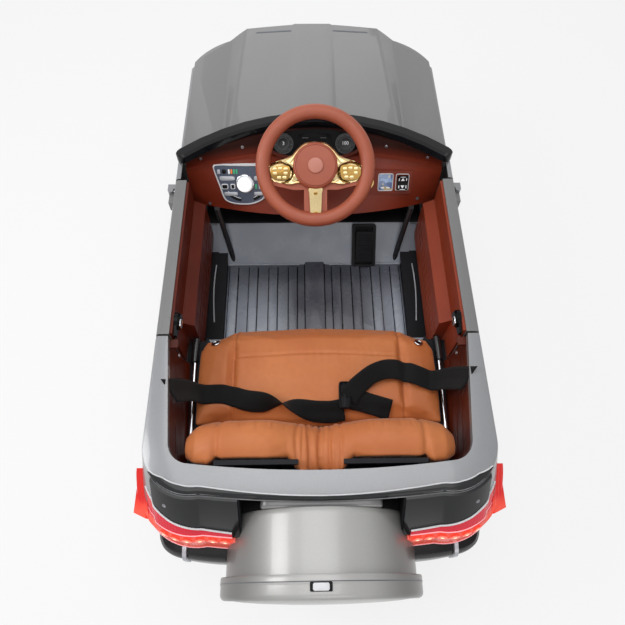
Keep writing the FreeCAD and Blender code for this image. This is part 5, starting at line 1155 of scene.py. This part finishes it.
def polarCurve(line, middle, count):
    # the same closed line as a reach for each angle about a middle point
    away = line - np.asarray(middle, float)
    angle = np.arctan2(away[:, 1], away[:, 0])
    order = np.argsort(angle)
    turn = np.linspace(-math.pi, math.pi, count, endpoint=False)
    return turn, np.interp(turn, angle[order], np.hypot(*away.T)[order], period=2 * math.pi)


def ringBetween(turn, middle, rows):
    # closed band: each row is a reach (one or many) and a height
    c, s = np.cos(turn), np.sin(turn)
    points = [places(middle[0] + reach * c, middle[1] + reach * s, z) for reach, z in rows]
    return np.concatenate(points), gridFaces(len(rows), len(turn), True, True)


def makeMediaFace():
    plane, top, knob, deep = plates["media"], media["top"], media["knob"], media["top"] - media["deep"]
    turn, reach = polarCurve(closedCurve(media["outline"], 180), knob, 120)
    hole, inner = media["hole"], reach - media["bezel"]
    face = ((hole, top - 4), (hole, top - 0.3), (reach - 1, top - 0.3), (reach - 1, deep))
    rim = ((inner, top - 0.6), (inner + 0.7, top + 0.9), (reach - 0.9, top + 0.9), (reach, top - 0.2),
           (reach, deep),
           (reach - 2, deep))
    newPiece("mediaFacePlate", ringBetween(turn, knob, face), "panel_face", "mediaBlue", plane=plane)
    newPiece("mediaBezel", ringBetween(turn, knob, rim), "bare_steel", "paleLine", plane=plane)


def makeMediaKeys():
    plane, top, knob = plates["media"], media["top"], media["knob"]
    buttons = pads(media["buttons"], top - 0.6, top + 1.3, 0.5, 28)
    keys = pads(media["keys"], top - 0.6, top + 0.9, 0.5, 28)
    faces = pads(media["keys"], top, top + 1.15, 0.15, 24, trim=1.8)
    faces += pads([media["eye"]], top - 0.5, top + 0.7, 0.4, 24, 2.0)
    newPiece("mediaButtons", buttons, "bare_steel", "buttonSilver", plane=plane)
    newPiece("mediaKeys", keys, "bare_steel", "paleLine", plane=plane)
    newPiece("mediaKeyFaces", faces, "black_gloss", plane=plane)
    for tint, spots in media["bars"].items():
        bars = pads([(x, y, *media["barHalf"]) for x, y in spots], top - 0.5, top + 0.5, 0.25, 16)
        newPiece("mediaBars" + tint, bars, "lit_knob", "mark" + tint, plane=plane)
    collar = turned([(radius, top + z) for radius, z in media["collar"]], 48, *knob)
    newPiece("mediaKnobCollar", collar, "bare_steel", "chrome", plane=plane)
    cap = turned(media["cap"], 48, *knob)
    newPiece("mediaKnobCap", cap, "lit_knob", body="media_knob", plane=plane, replaced="media_knob")


def makeMediaWedges():
    # dark curved wedges low on the face, pale along the edge
    x, y, w, h = media["wedgeOval"]
    wedges, edges = [], []
    for ends in media["wedges"]:
        arc = np.radians(np.linspace(*ends, 14))
        path = places(x + w * np.cos(arc), y + h * np.sin(arc), media["top"])
        wedges.append(swept(path, upward, taper(3.4, 3.0, -0.8, 0.6)))
        edges.append(bead(path + [0, media["wedgeEdge"], 0], 0.9))
    newPiece("mediaLowerWedges", wedges, "black_gloss", plane=plates["media"])
    newPiece("mediaWedgeEdges", edges, "bare_steel", "paleLine", plane=plates["media"])


# small panel at the right: screen, rocker and start button
display = dict(
    screen=(0.0, 0.0, 15.2, 18.2), rocker=(38.0, 0.0, 14.6, 18.6), start=(-42.0, 0.0),
    rims=(("screen", 2.2, 2.0, 3.0, 6.0), ("rocker", 0.9, 1.7, 4.6, 6.4)),
    dots=((-6.4, -13.0, 4.4, 2.0), (6.4, -13.0, 4.4, 2.0)),
    arrow=((-4.5, 5.2), (4.5, 5.2), (0.0, 12.2)), slope=11.0, markLift=11.3,
    bars=((-8.2, 8.4, 1.0, 3.4), (8.2, 8.4, 1.0, 3.4), (0.0, 14.2, 6.4, 0.6)),
    dish=((0, 9.3), (5, 9.35), (7.2, 9.9), (8.2, 9.9), (8.8, 9.3), (8.8, 8.8), (0, 8.8)),
)


def rockerMarks():
    # arrow and short bars on both halves of the rocker, which slope up from its middle
    lines = [np.array(display["arrow"])] + [ovalLine(w, h, 12, 6.0, x, y) for x, y, w, h in display["bars"]]
    rise = math.tan(math.radians(display["slope"]))
    marks = []
    for way in (-1, 1):
        for line in lines:
            points, faces = slab((line * [1, way])[::way] + display["rocker"][:2], -0.25, 0.4, 0.12)
            points[:, 2] += display["markLift"] + np.abs(points[:, 1]) * rise
            marks.append((points, faces))
    return marks


def makeDisplay():
    plane = plates["display"]
    newPiece("displayScreen", pads([display["screen"]], 3.0, 4.4, 0.3, 40, 9.0), "panel_face", "screen",
             plane=plane)
    rims = []
    for part, grown, width, low, high in display["rims"]:
        x, y, w, h = display[part]
        rims.append(frameRing(ovalLine(w + grown, h + grown, 48, 10.0, x, y), width, low, high, 0.4))
    newPiece("displayRims", rims, "bare_steel", "paleLine", plane=plane)
    newPiece("displayDots", pads(display["dots"], 4.2, 4.8, 0.2, 20, 2.4), "lit_knob", "markWhite",
             plane=plane)
    newPiece("rockerMarks", rockerMarks(), "bare_steel", "markWhite", "drive_switch", plane)
    dish = turned(display["dish"], 36, *display["start"])
    newPiece("startButtonDish", dish, "gold_trim", body="start_button", plane=plane)


# steering wheel: winged gold bezel, tongue, disc, seam, screws and key pads
wheelTrim = dict(
    disc=15.2, seam=41.5, screws=(-56.0, -96.0), screwLift=6.0, inner=44.0, flare=4.0,
    key=(72.5, -14.0), pocketHalf=(25.5, 20.0), pocketLevel=1.4,
    wing=((0, 48), (-22, 45), (-38, 33), (-52, 19), (-75, 11), (-92, 3), (-101, -10), (-99, -22), (-88, -30),
          (-68, -35), (-50, -38), (-38, -35), (-20, -38), (0, -40)),
    bulges=((0.08, 0.0), (0.14, 0.3), (0.2, 1.0), (0.27, 1.9), (0.34, 2.6), (0.45, 2.9), (0.56, 3.0),
            (0.67, 2.8),
            (0.77, 2.4), (0.86, 1.8), (0.92, 1.2), (0.97, 1.6)),
    tongue=((-10.6, -46), (10.6, -46), (10.4, -60), (8.6, -98), (6.8, -104), (-6.8, -104), (-8.6, -98),
            (-10.4, -60)),
    keyBase=((-19, 12), (2, 14), (18, 8), (20, -4), (12, -13), (-8, -15), (-18, -10)), padHalf=(4.4, 3.2),
    keyPads=((-11.4, 7.6), (0.0, 8.4), (11.4, 7.6), (-11.0, -1.2), (11.0, -1.2), (-8.6, -9.6), (2.4, -9.8)),
)


def wingShape():
    # gold band from the boss to the grip that rises towards the grip, with room sunk under the keys
    w, inner = wheelTrim, wheelTrim["inner"]
    left = np.array(w["wing"], float)
    outline = closedCurve(np.concatenate([left, (left[1:-1] * [-1, 1])[::-1]]), 240)
    turn, reach = polarCurve(outline, (0, 0), 200)
    far = np.maximum(reach, inner + 0.5)
    lift = np.clip((far - 60) / 40, 0, 1) * w["flare"]
    rows = [(inner, 1.0), (inner, 7.4)]
    rows += [(inner + (far - inner) * share, 7.4 - bulge + lift * share) for share, bulge in w["bulges"]]
    rows += [(far, 3.2 + lift), (far, 0.6)]
    points, faces = ringBetween(turn, (0, 0), rows)
    spots = np.column_stack([np.abs(points[:, 0]), points[:, 1]])
    away = (spots - w["key"]) / w["pocketHalf"]
    sunk = np.clip((1.12 - np.hypot(*away.T)) / 0.12, 0, 1)
    points[:, 2] += np.minimum(w["pocketLevel"] - points[:, 2], 0) * sunk
    return points, faces


def makeWheelTrim():
    w, plane = wheelTrim, plates["wheel"]
    newPiece("wheelWings", wingShape(), "gold_trim", body="steering", plane=plane, sharp=50,
             replaced="steering_bezel")
    tongue = slab(closedCurve(w["tongue"], 60), 0.6, 6.2, 2.4)
    newPiece("wheelTongue", tongue, "gold_trim", body="steering", plane=plane)
    disc = slab(ovalLine(w["disc"], w["disc"], 48), 14.2, 15.1, 0.5)
    newPiece("wheelBossDisc", disc, "wheel_rim", "bossPink", "steering", plane)
    seam = frameRing(ovalLine(w["seam"], w["seam"], 64), 1.0, 11.6, 12.2, 0.2)
    newPiece("wheelPadSeam", seam, "wheel_rim", "brown_lining", "steering", plane)
    points, faces = screwHead(4.0)
    heads = [(points + [0, y, w["screwLift"]], faces) for y in w["screws"]]
    newPiece("wheelTongueScrews", heads, "gold_trim", "goldDeep", "steering", plane)
    for side, sign in sides:
        key = "wheel_key_" + side
        base = (np.array(w["keyBase"]) + w["key"]) * [sign, 1]
        base = slab(closedCurve(base, 60), 6.0, 8.2, 0.8)
        newPiece("wheelKeyBase_" + side, base, "gold_trim", "goldDeep", key, plane, replaced=key)
        spots = (np.array(w["keyPads"]) + w["key"]) * [sign, 1]
        caps = pads([(x, y, *w["padHalf"]) for x, y in spots], 7.8, 9.4, 0.7, 20, 4.0)
        newPiece("wheelKeyPads_" + side, caps, "gold_trim", body=key, plane=plane)


# screws that show in the cabin and on the tail: node, start, way to the surface, head radius
screwSpots = (
    ("dashboard", (-244.0, 120.0, 306.0), (0, 1, -0.35), 4.2),
    ("dashboard", (241.0, 122.0, 316.0), (0, 1, -0.35), 4.2),
)
screwPairs = (
    ("dashboard", (252.0, 130.0, 408.0), (0, 1, -0.2), 3.6),
    ("dashboard", (160.0, 170.0, 414.0), (0, 1, -0.2), 3.6),
    ("rear_lining", (230.0, -268.0, 372.0), (1, 0, 0), 3.8),
    ("rear_panel", (259.0, -580.0, 372.0), (0, 1, 0), 3.8),
)


def makeScrews():
    heads = []
    mirrored = [(node, np.array(start) * [sign, 1, 1], np.array(along) * [sign, 1, 1], radius)
                for node, start, along, radius in screwPairs for side, sign in sides]
    for node, start, along, radius in [*screwSpots, *mirrored]:
        place, normal = landOn(surfaceOf(node), start, along, 140)
        heads.append(onPlane(screwHead(radius), planeAt(place, normal)))
    newPiece("panelScrews", heads, "bare_steel", "screwSteel")


makeGauges()
makeMediaFace()
makeMediaKeys()
makeMediaWedges()
makeDisplay()
makeWheelTrim()
makeScrews()
print("dashboard and steering trim made")

# cabin rim and lining: copies of the mouldings with the opening drawn out to the photographed width
rimShift = dict(y=(-480.0, -445.0, -400.0, -330.0, -240.0, -190.0), out=(0.0, 5.0, 11.0, 15.3, 16.5, 17.0),
                x=(214.0, 240.0, 276.0, 294.0), z=(258.0, 300.0))


def wideCopy(name, node, slot, coat):
    mesh = nodes[node].data
    points, faces = meshPoints(mesh), meshTriangles(mesh)
    x, y, z = points.T
    share = np.interp(np.abs(x), rimShift["x"], (0, 1, 1, 0)) * np.interp(z, rimShift["z"], (0, 1))
    points[:, 0] += np.sign(x) * share * np.interp(y, rimShift["y"], rimShift["out"])
    return newPiece(name, (points, faces), slot, coat, sharp=32, replaced=node)


# floor: plain mat over the tread, nine ribs with black lines beside them as painted shade, lip under the toe
# board
floorParts = dict(
    low=150.6, mat=156.8, rib=162.6, front=58.0, rear=-148.0, centre=23.5, centreFront=70.0, half=10.3,
    ribs=(53.4, 101.6, 150.4, 198.6), ribShadeHalf=1.3, ribShadeAway=0.7, edge=214.0, lipY=66.0, lipZ=157.4,
    kick=(243.0, 110.0, 197.0), shelf=(-262, 262, 138, 236), shelfZ=(232.6, 236.6), sillY=(52, -104),
    sillX=236,
    sillZ=179.2,
)


def makeFloor():
    f = floorParts
    mat = slab(boxLine(-f["edge"], f["edge"], f["rear"], f["front"] + 8), f["low"], f["mat"], 0.6)
    newPiece("floorMat", mat, "floor_grey", "tread")
    lanes = [(sign * x, f["half"], f["front"]) for x in f["ribs"] for side, sign in sides]
    lanes = [(0.0, f["centre"], f["centreFront"])] + lanes
    ribs, ribShades = [], []
    for x, half, front in lanes:
        ribs.append(slab(boxLine(x - half, x + half, f["rear"], front, 2.0), f["low"], f["rib"], 1.6))
        for way in (-1, 1):
            middle = x + way * (half + f["ribShadeAway"])
            line = boxLine(middle - f["ribShadeHalf"], middle + f["ribShadeHalf"], f["rear"], front, 0.4)
            ribShades.append(slab(line, f["low"], f["mat"] + 0.5, 0.2))
    newPiece("floorRibs", ribs, "floor_grey", "tread")
    # black lines along the rib edges: painted shade
    newPiece("floorRibShades", ribShades, "black_trim", "black_gloss")
    path = places(np.linspace(-f["edge"], f["edge"], 30), f["lipY"], f["lipZ"])
    lips = [bead(path[sign * path[:, 0] > f["centre"] + 2], 2.6, 10) for side, sign in sides]
    newPiece("toeLip", lips, "floor_grey")


def makeFootWell():
    # kick plates beside the toe board, shelf under the dashboard, pale beads on the sill mouldings' edges as
    # a painted highlight
    f = floorParts
    y = np.linspace(*f["sillY"], 22)
    kicks, beads = [], []
    for side, sign in sides:
        plane = planeAt(np.array(f["kick"]) * [sign, 1, 1], (0, -0.71, 0.71), (0, 0.71, 0.71))
        kicks.append(onPlane(slab(ovalLine(24, 40, 24, 12.0), -6.0, 0.0, 1.5), plane))
        beads.append(bead(places(sign * (f["sillX"] + 6 * np.cos(y / 60)), y, f["sillZ"]), 1.6))
    newPiece("kickPlates", kicks, "floor_grey")
    newPiece("underDashShelf", slab(boxLine(*f["shelf"]), *f["shelfZ"], 0.6), "black_trim")
    # pale sill edges: painted highlight
    newPiece("sillEdgeHighlights", beads, "floor_grey", "buttonSilver")


# tail: drum sleeve, domed lid cover, clip, pale panel lines painted as highlights, lamp spots, bumper skins
# and fins
drum = dict(
    z=234.0, sleeve=168.5, bore=152, boss=(0.0, 124.0, 101, 30), bossY=(526, 542), lid=177.5,
    dome=((0, 684), (60, 683.2), (110, 681), (140, 678.6), (152, 677), (164, 674.2), (171, 669.6),
          (175.4, 662),
          (177.5, 652), (177.5, 642), (176.5, 640), (172, 640), (171.5, 660), (160, 669), (0, 669)),
    groove=((0.15, 649.2), (0.3, 650), (0.15, 650.8), (-2, 650), (0.15, 649.2)),
    clipFrame=(-21, 13, -664, -650.5, 1.5), clip=(-16.5, 8.5, -663, -652, 2.0),
    shadeSheets=(((-150, 150, -541, -500), 296, 302), ((-138, 138, -541, -512), 322, 328)),
)
tail = dict(
    far=-700, missed=-690, edgeX=286, edgeZ=396.5, over=470.0, topX=(0, 50, 100, 150, 235, 268, 286),
    topWidth=(7, 7.6, 9, 11, 15, 13, 3), lampX=(150, 297), lampLow=316.0, lampTopX=(150, 200, 250, 297),
    lampTop=(338, 341, 349, 360), skin=1.8, pinks=((329.0, 1.8), (272.0, 0.0)),
    spots=(163.0, 184.0, 206.0, 228.0, 249.0, 268.0), spotZ=317.0,
    spot=((0, 1.2), (2.2, 1.0), (3.6, 0.4), (4.0, -1.0), (0, -1.0)),
    glow=((0, 0.5), (7.0, 0.4), (8.6, 0.0), (8.6, -1.0), (0, -1.0)),
    tip=((319, -474, 334), (328, -536, 304), (306, -546, 304), (306, -474, 336)), tipDeep=(3, 0, 10),
)
bumper = dict(
    z=190.0, finX=244.0,
    line=((-297, -562), (-293, -578), (-283, -593), (-262, -604), (-232, -610), (-198, -614), (-166, -616)),
    section=((-34, -64), (-6, -64), (-1, -56), (0, -40), (0, 34), (-2, 50), (-8, 60), (-34, 63)),
    fin=((-578, 255), (-596, 253.6), (-605, 249), (-609, 238), (-609.5, 200)),
)


def makeDrum():
    behind = dict(centre=(0.0, 0.0, drum["z"]), up=upward, out=(0, -1, 0))
    r, bore = drum["sleeve"], drum["bore"]
    x, z, w, h = drum["boss"]
    sleeve = turned(((0, 541.5), (r - 7, 541.5), (r - 2.6, 543), (r - 0.6, 546.5), (r, 552), (r, 647),
                     (bore, 647),
                     (bore, 556), (0, 556)), 96)
    boss = slab(ovalLine(w, h, 64, 7.0, x, z), *drum["bossY"], 4.0)
    newPiece("drumSleeve", [sleeve, boss], "drum_silver", plane=behind, replaced="spare_drum")
    newPiece("lidDome", turned(drum["dome"], 96), "drum_silver", body="spare_lid", plane=behind, sharp=60)
    groove = turned([(drum["lid"] + out, y) for out, y in drum["groove"]], 96)
    newPiece("lidGroove", groove, "drum_silver", "dialGrey", "spare_lid", behind)
    newPiece("lidClipFrame", slab(boxLine(*drum["clipFrame"]), 405.0, 412.7, 0.5), "black_trim",
             body="spare_lid")
    newPiece("lidClip", slab(boxLine(*drum["clip"]), 408.0, 414.2, 0.9), "lit_knob", "paleLine", "spare_lid")
    # black sheets in the recess between the rim and the drum: painted shade
    shadeSheets = [slab(boxLine(*box), low, high, 0.5) for box, low, high in drum["shadeSheets"]]
    newPiece("recessShadeSheet", shadeSheets, "black_trim")


def castRow(tree, x, z):
    # points of a surface seen from behind the car
    return dropOn(tree, places(x, tail["far"], z), (0, 1, 0))


def skinBand(rows, thick, out=(0, -1, 0)):
    # thin closed skin over rows of points on a surface, standing off it along out
    rows = np.stack(rows, 1)
    loops = np.concatenate([rows + np.array(out) * thick, rows[:, ::-1] - np.array(out) * 2.0], 1)
    start, end = (np.broadcast_to(loop.mean(1, keepdims=True), loop.shape)
                  for loop in (loops[:1], loops[-1:]))
    loops = np.concatenate([start, loops, end])
    return loops.reshape(-1, 3), gridFaces(loops.shape[0], loops.shape[1], closedColumns=True)


def lampRows(back, sign):
    # rows of points over one lamp, from its lower edge to its slanting top
    x = sign * np.linspace(*tail["lampX"], 36)
    top = np.interp(np.abs(x), tail["lampTopX"], tail["lampTop"])
    low = tail["lampLow"]
    return [castRow(back, x, low + (top - low) * share) for share in (0.0, 0.35, 0.7, 1.0)]


def makePanelTop(back, shell):
    # dark strip over the shell, ahead of the panel's edge, and pale lines along it and the lamps as painted
    # highlights
    x = np.linspace(-tail["edgeX"], tail["edgeX"], 90)
    edge = castRow(back, x, tail["edgeZ"])
    ahead = np.gradient(edge, axis=0)
    inward = places(-ahead[:, 1], ahead[:, 0], 0) / np.linalg.norm(ahead[:, :2], axis=1)[:, None]
    width = np.interp(np.abs(x), tail["topX"], tail["topWidth"])
    shelf = surfaceOf(shell)
    rows = [edge]
    for share in (0.2, 0.45, 0.7, 1.0):
        row = edge + inward * (width * share)[:, None]
        rows.append(dropOn(shelf, places(row[:, 0], row[:, 1], tail["over"])))
    newPiece("tailPanelTop", skinBand(rows, 0.8, (0, -0.3, 0.9)), "tail_panel")
    # pale beads on the edges: painted highlight
    lines = [bead(lampRows(back, sign)[-1] - [0, 1.6, 0], 1.6) for side, sign in sides]
    lines.append(bead(rows[-1] + [0, 0, 0.6], 1.2))
    newPiece("tailHighlightLines", lines, "body_paint", "paleLine")


def makeLamps(back):
    # red bands with pink lines and a row of glowing spots; the outer tips are wider than the shell
    bands, pinks, spots, glows, tips = [], [], [], [], []
    for side, sign in sides:
        x = sign * np.linspace(*tail["lampX"], 36)
        bands.append(skinBand(lampRows(back, sign), tail["skin"]))
        for level, off in tail["pinks"]:
            path = castRow(back, x, level)
            path = path[path[:, 1] > tail["missed"]] - [0, off, 0]
            if len(path) > 4:
                pinks.append(bead(path, 1.0))
        for place in tail["spots"]:
            spot, normal = landOn(back, (sign * place, tail["far"], tail["spotZ"]), (0, 1, 0), 300)
            plane = planeAt(np.array(spot) - [0, tail["skin"], 0], normal)
            spots.append(onPlane(turned(tail["spot"], 20), plane))
            glows.append(onPlane(turned(tail["glow"], 24), plane))
        top = np.array(tail["tip"], float)
        tips.append((np.concatenate([top, top - tail["tipDeep"]]) * [sign, 1, 1], boxFaces))
    newPiece("lampTips", tips, "tail_red", sharp=20)
    newPiece("lampBands", bands, "tail_red")
    newPiece("lampLines", pinks, "tail_red", "pinkLine")
    newPiece("lampGlows", glows, "tail_red", "lampGlow")
    newPiece("lampSpots", spots, "tail_red", "hotSpot")


def makeBumper():
    skins, fins = [], []
    fin = smoothStations(bumper["fin"], 16)
    for side, sign in sides:
        line = smoothStations((np.array(bumper["line"]) * [-sign, 1])[::-sign], 40)
        skins.append(swept(places(*line.T, bumper["z"]), upward, bumper["section"]))
        fins.append(swept(places(sign * bumper["finX"], *fin.T), (0, -0.8, 0.6), taper(4.5, 3.4, -2, 1.8)))
    newPiece("bumperSkins", skins, "black_trim", "bumperBlack", sharp=30)
    newPiece("bumperFins", fins, "bare_steel", "buttonSilver")


# nose: pale edge behind the bonnet as a painted highlight, dark strips on its lip, lamp rings
nose = dict(radius=545.4, centre=-260.9, turn=31.5, over=560, lipX=(52, 140), lipY=591.0, lampX=226.0,
            lampZ=312.0,
            ring=((33, -1), (33, 1.2), (34.4, 2.2), (37, 1.8), (38.2, 0.4), (38.2, -1), (33, -1)))


def makeNose():
    top = surfaceOf("bonnet", "cowl_trim", "front_shell")
    lamps = surfaceOf("headlights")
    turn = np.radians(np.linspace(-nose["turn"], nose["turn"], 70))
    x, y = nose["radius"] * np.sin(turn), nose["centre"] + nose["radius"] * np.cos(turn)
    edge = dropOn(top, places(x, y, nose["over"]))
    # pale bead on the bonnet's rear edge: painted highlight
    newPiece("bonnetRearHighlight", bead(edge, 1.5), "bonnet_paint", "buttonSilver")
    strips, rings = [], []
    for side, sign in sides:
        path = dropOn(top, places(sign * np.linspace(*nose["lipX"], 14), nose["lipY"], nose["over"]))
        strips.append(swept(path, upward, taper(2.6, 2.2, -0.6, 0.5)))
        spot, normal = landOn(lamps, (sign * nose["lampX"], 720, nose["lampZ"]), (0, -1, 0), 300)
        rings.append(onPlane(turned(nose["ring"], 48), planeAt(spot, normal)))
    newPiece("bonnetLipStrips", strips, "black_trim", "lipGrey")
    newPiece("headlightRings", rings, "lamp_clear", "chrome")


# wheels, stays, latches and buckle
hub = dict(axles=dict(front=360.0, rear=-380.0), z=125.0, far=420.0, nutRing=34.0, nuts=5,
           cap=((0, 5.2), (9, 4.9), (15, 3.6), (19, 1.6), (21, -1.0), (0, -1.0)),
           nut=((0, 3.6), (3.4, 3.4), (4.6, 2.4), (4.6, -1.5), (0, -1.5)))
stay = dict(y=(-243, -428), endY=(-432, -189), endX=(246.5, 253.0), z=269.3, radius=4.6)
latch = dict(start=(200.0, -208.0, 386.0), pin=((0, 2.2), (2.4, 2.0), (3.4, 1.2), (3.4, -0.6), (0, -0.6)),
             ring=((6.2, -0.6), (6.2, 1.0), (7.4, 1.8), (9.0, 1.5), (9.8, 0.4), (9.8, -0.6), (6.2, -0.6)))
buckle = dict(x=51.0, y=-325.0, frame=(11.0, 27.0), plate=(9.0, 25.0), bar=(48.5, 53.5, -350, -300, 1.0))


def makeBuckle():
    x, y = buckle["x"], buckle["y"]
    frameBars = [frameRing(ovalLine(*buckle["frame"], 40, 6.0, x, y), 3.2, 296.0, 307.0, 1.5),
                 slab(boxLine(*buckle["bar"]), 297.0, 305.0, 1.2),
                 slab(ovalLine(*buckle["plate"], 36, 6.0, x, y), 296.5, 302.0, 1.0)]
    newPiece("buckleFrame", frameBars, "black_gloss", "black_trim", replaced="belt_buckle")


def makeHubCap(end, side, sign, y):
    # domed cap and a ring of nuts on the outer face of a rim
    wheel = end + "_" + side
    rim = surfaceOf("rim_" + wheel)
    ring = np.radians(np.arange(hub["nuts"]) * 360 / hub["nuts"] + 90)
    nut = turned(hub["nut"], 6)
    spots = [(y, hub["z"], turned(hub["cap"], 40))]
    for turn in ring:
        spots.append((y + hub["nutRing"] * math.cos(turn), hub["z"] + hub["nutRing"] * math.sin(turn), nut))
    heads = []
    for across, height, shape in spots:
        spot, normal = landOn(rim, (sign * hub["far"], across, height), (-sign, 0, 0), 300)
        heads.append(onPlane(shape, planeAt(spot, (sign, 0, 0))))
    newPiece("hubCap_" + wheel, heads, "rim", "chrome", "wheel_" + wheel)


def makeDoorFittings(side, sign):
    # bright rod of the stay behind the door, ring and pin of its latch
    y = np.linspace(*stay["y"], 4)
    rod = places(sign * np.interp(y, stay["endY"], stay["endX"]), y, stay["z"])
    newPiece("stayRod_" + side, bead(rod, stay["radius"], 16), "bare_steel", "chrome")
    handle = surfaceOf("door_latch_" + side)
    spot, normal = landOn(handle, np.array(latch["start"]) * [sign, 1, 1], (sign, 0, 0), 120)
    shapes = [turned(latch["ring"], 36), turned(latch["pin"], 24)]
    newPiece("latchRing_" + side, shapes, "bare_steel", "chrome", "latch_" + side,
             planeAt(spot, (-sign, 0, 0)))


wideShell = wideCopy("rearShellWide", "rear_shell", "body_paint", "body_paint")
wideCopy("rearLiningWide", "rear_lining", "brown_lining", "rearShadedBrown")
makeFloor()
makeFootWell()
makeDrum()
tailSurface = surfaceOf("rear_panel", "tail_light_left", "tail_light_right", wideShell)
makePanelTop(tailSurface, wideShell)
makeLamps(tailSurface)
makeBumper()
makeNose()
makeBuckle()
for side, sign in sides:
    for end, y in hub["axles"].items():
        makeHubCap(end, side, sign, y)
    makeDoorFittings(side, sign)
print("rim, floor, tail, nose and fittings dressed")
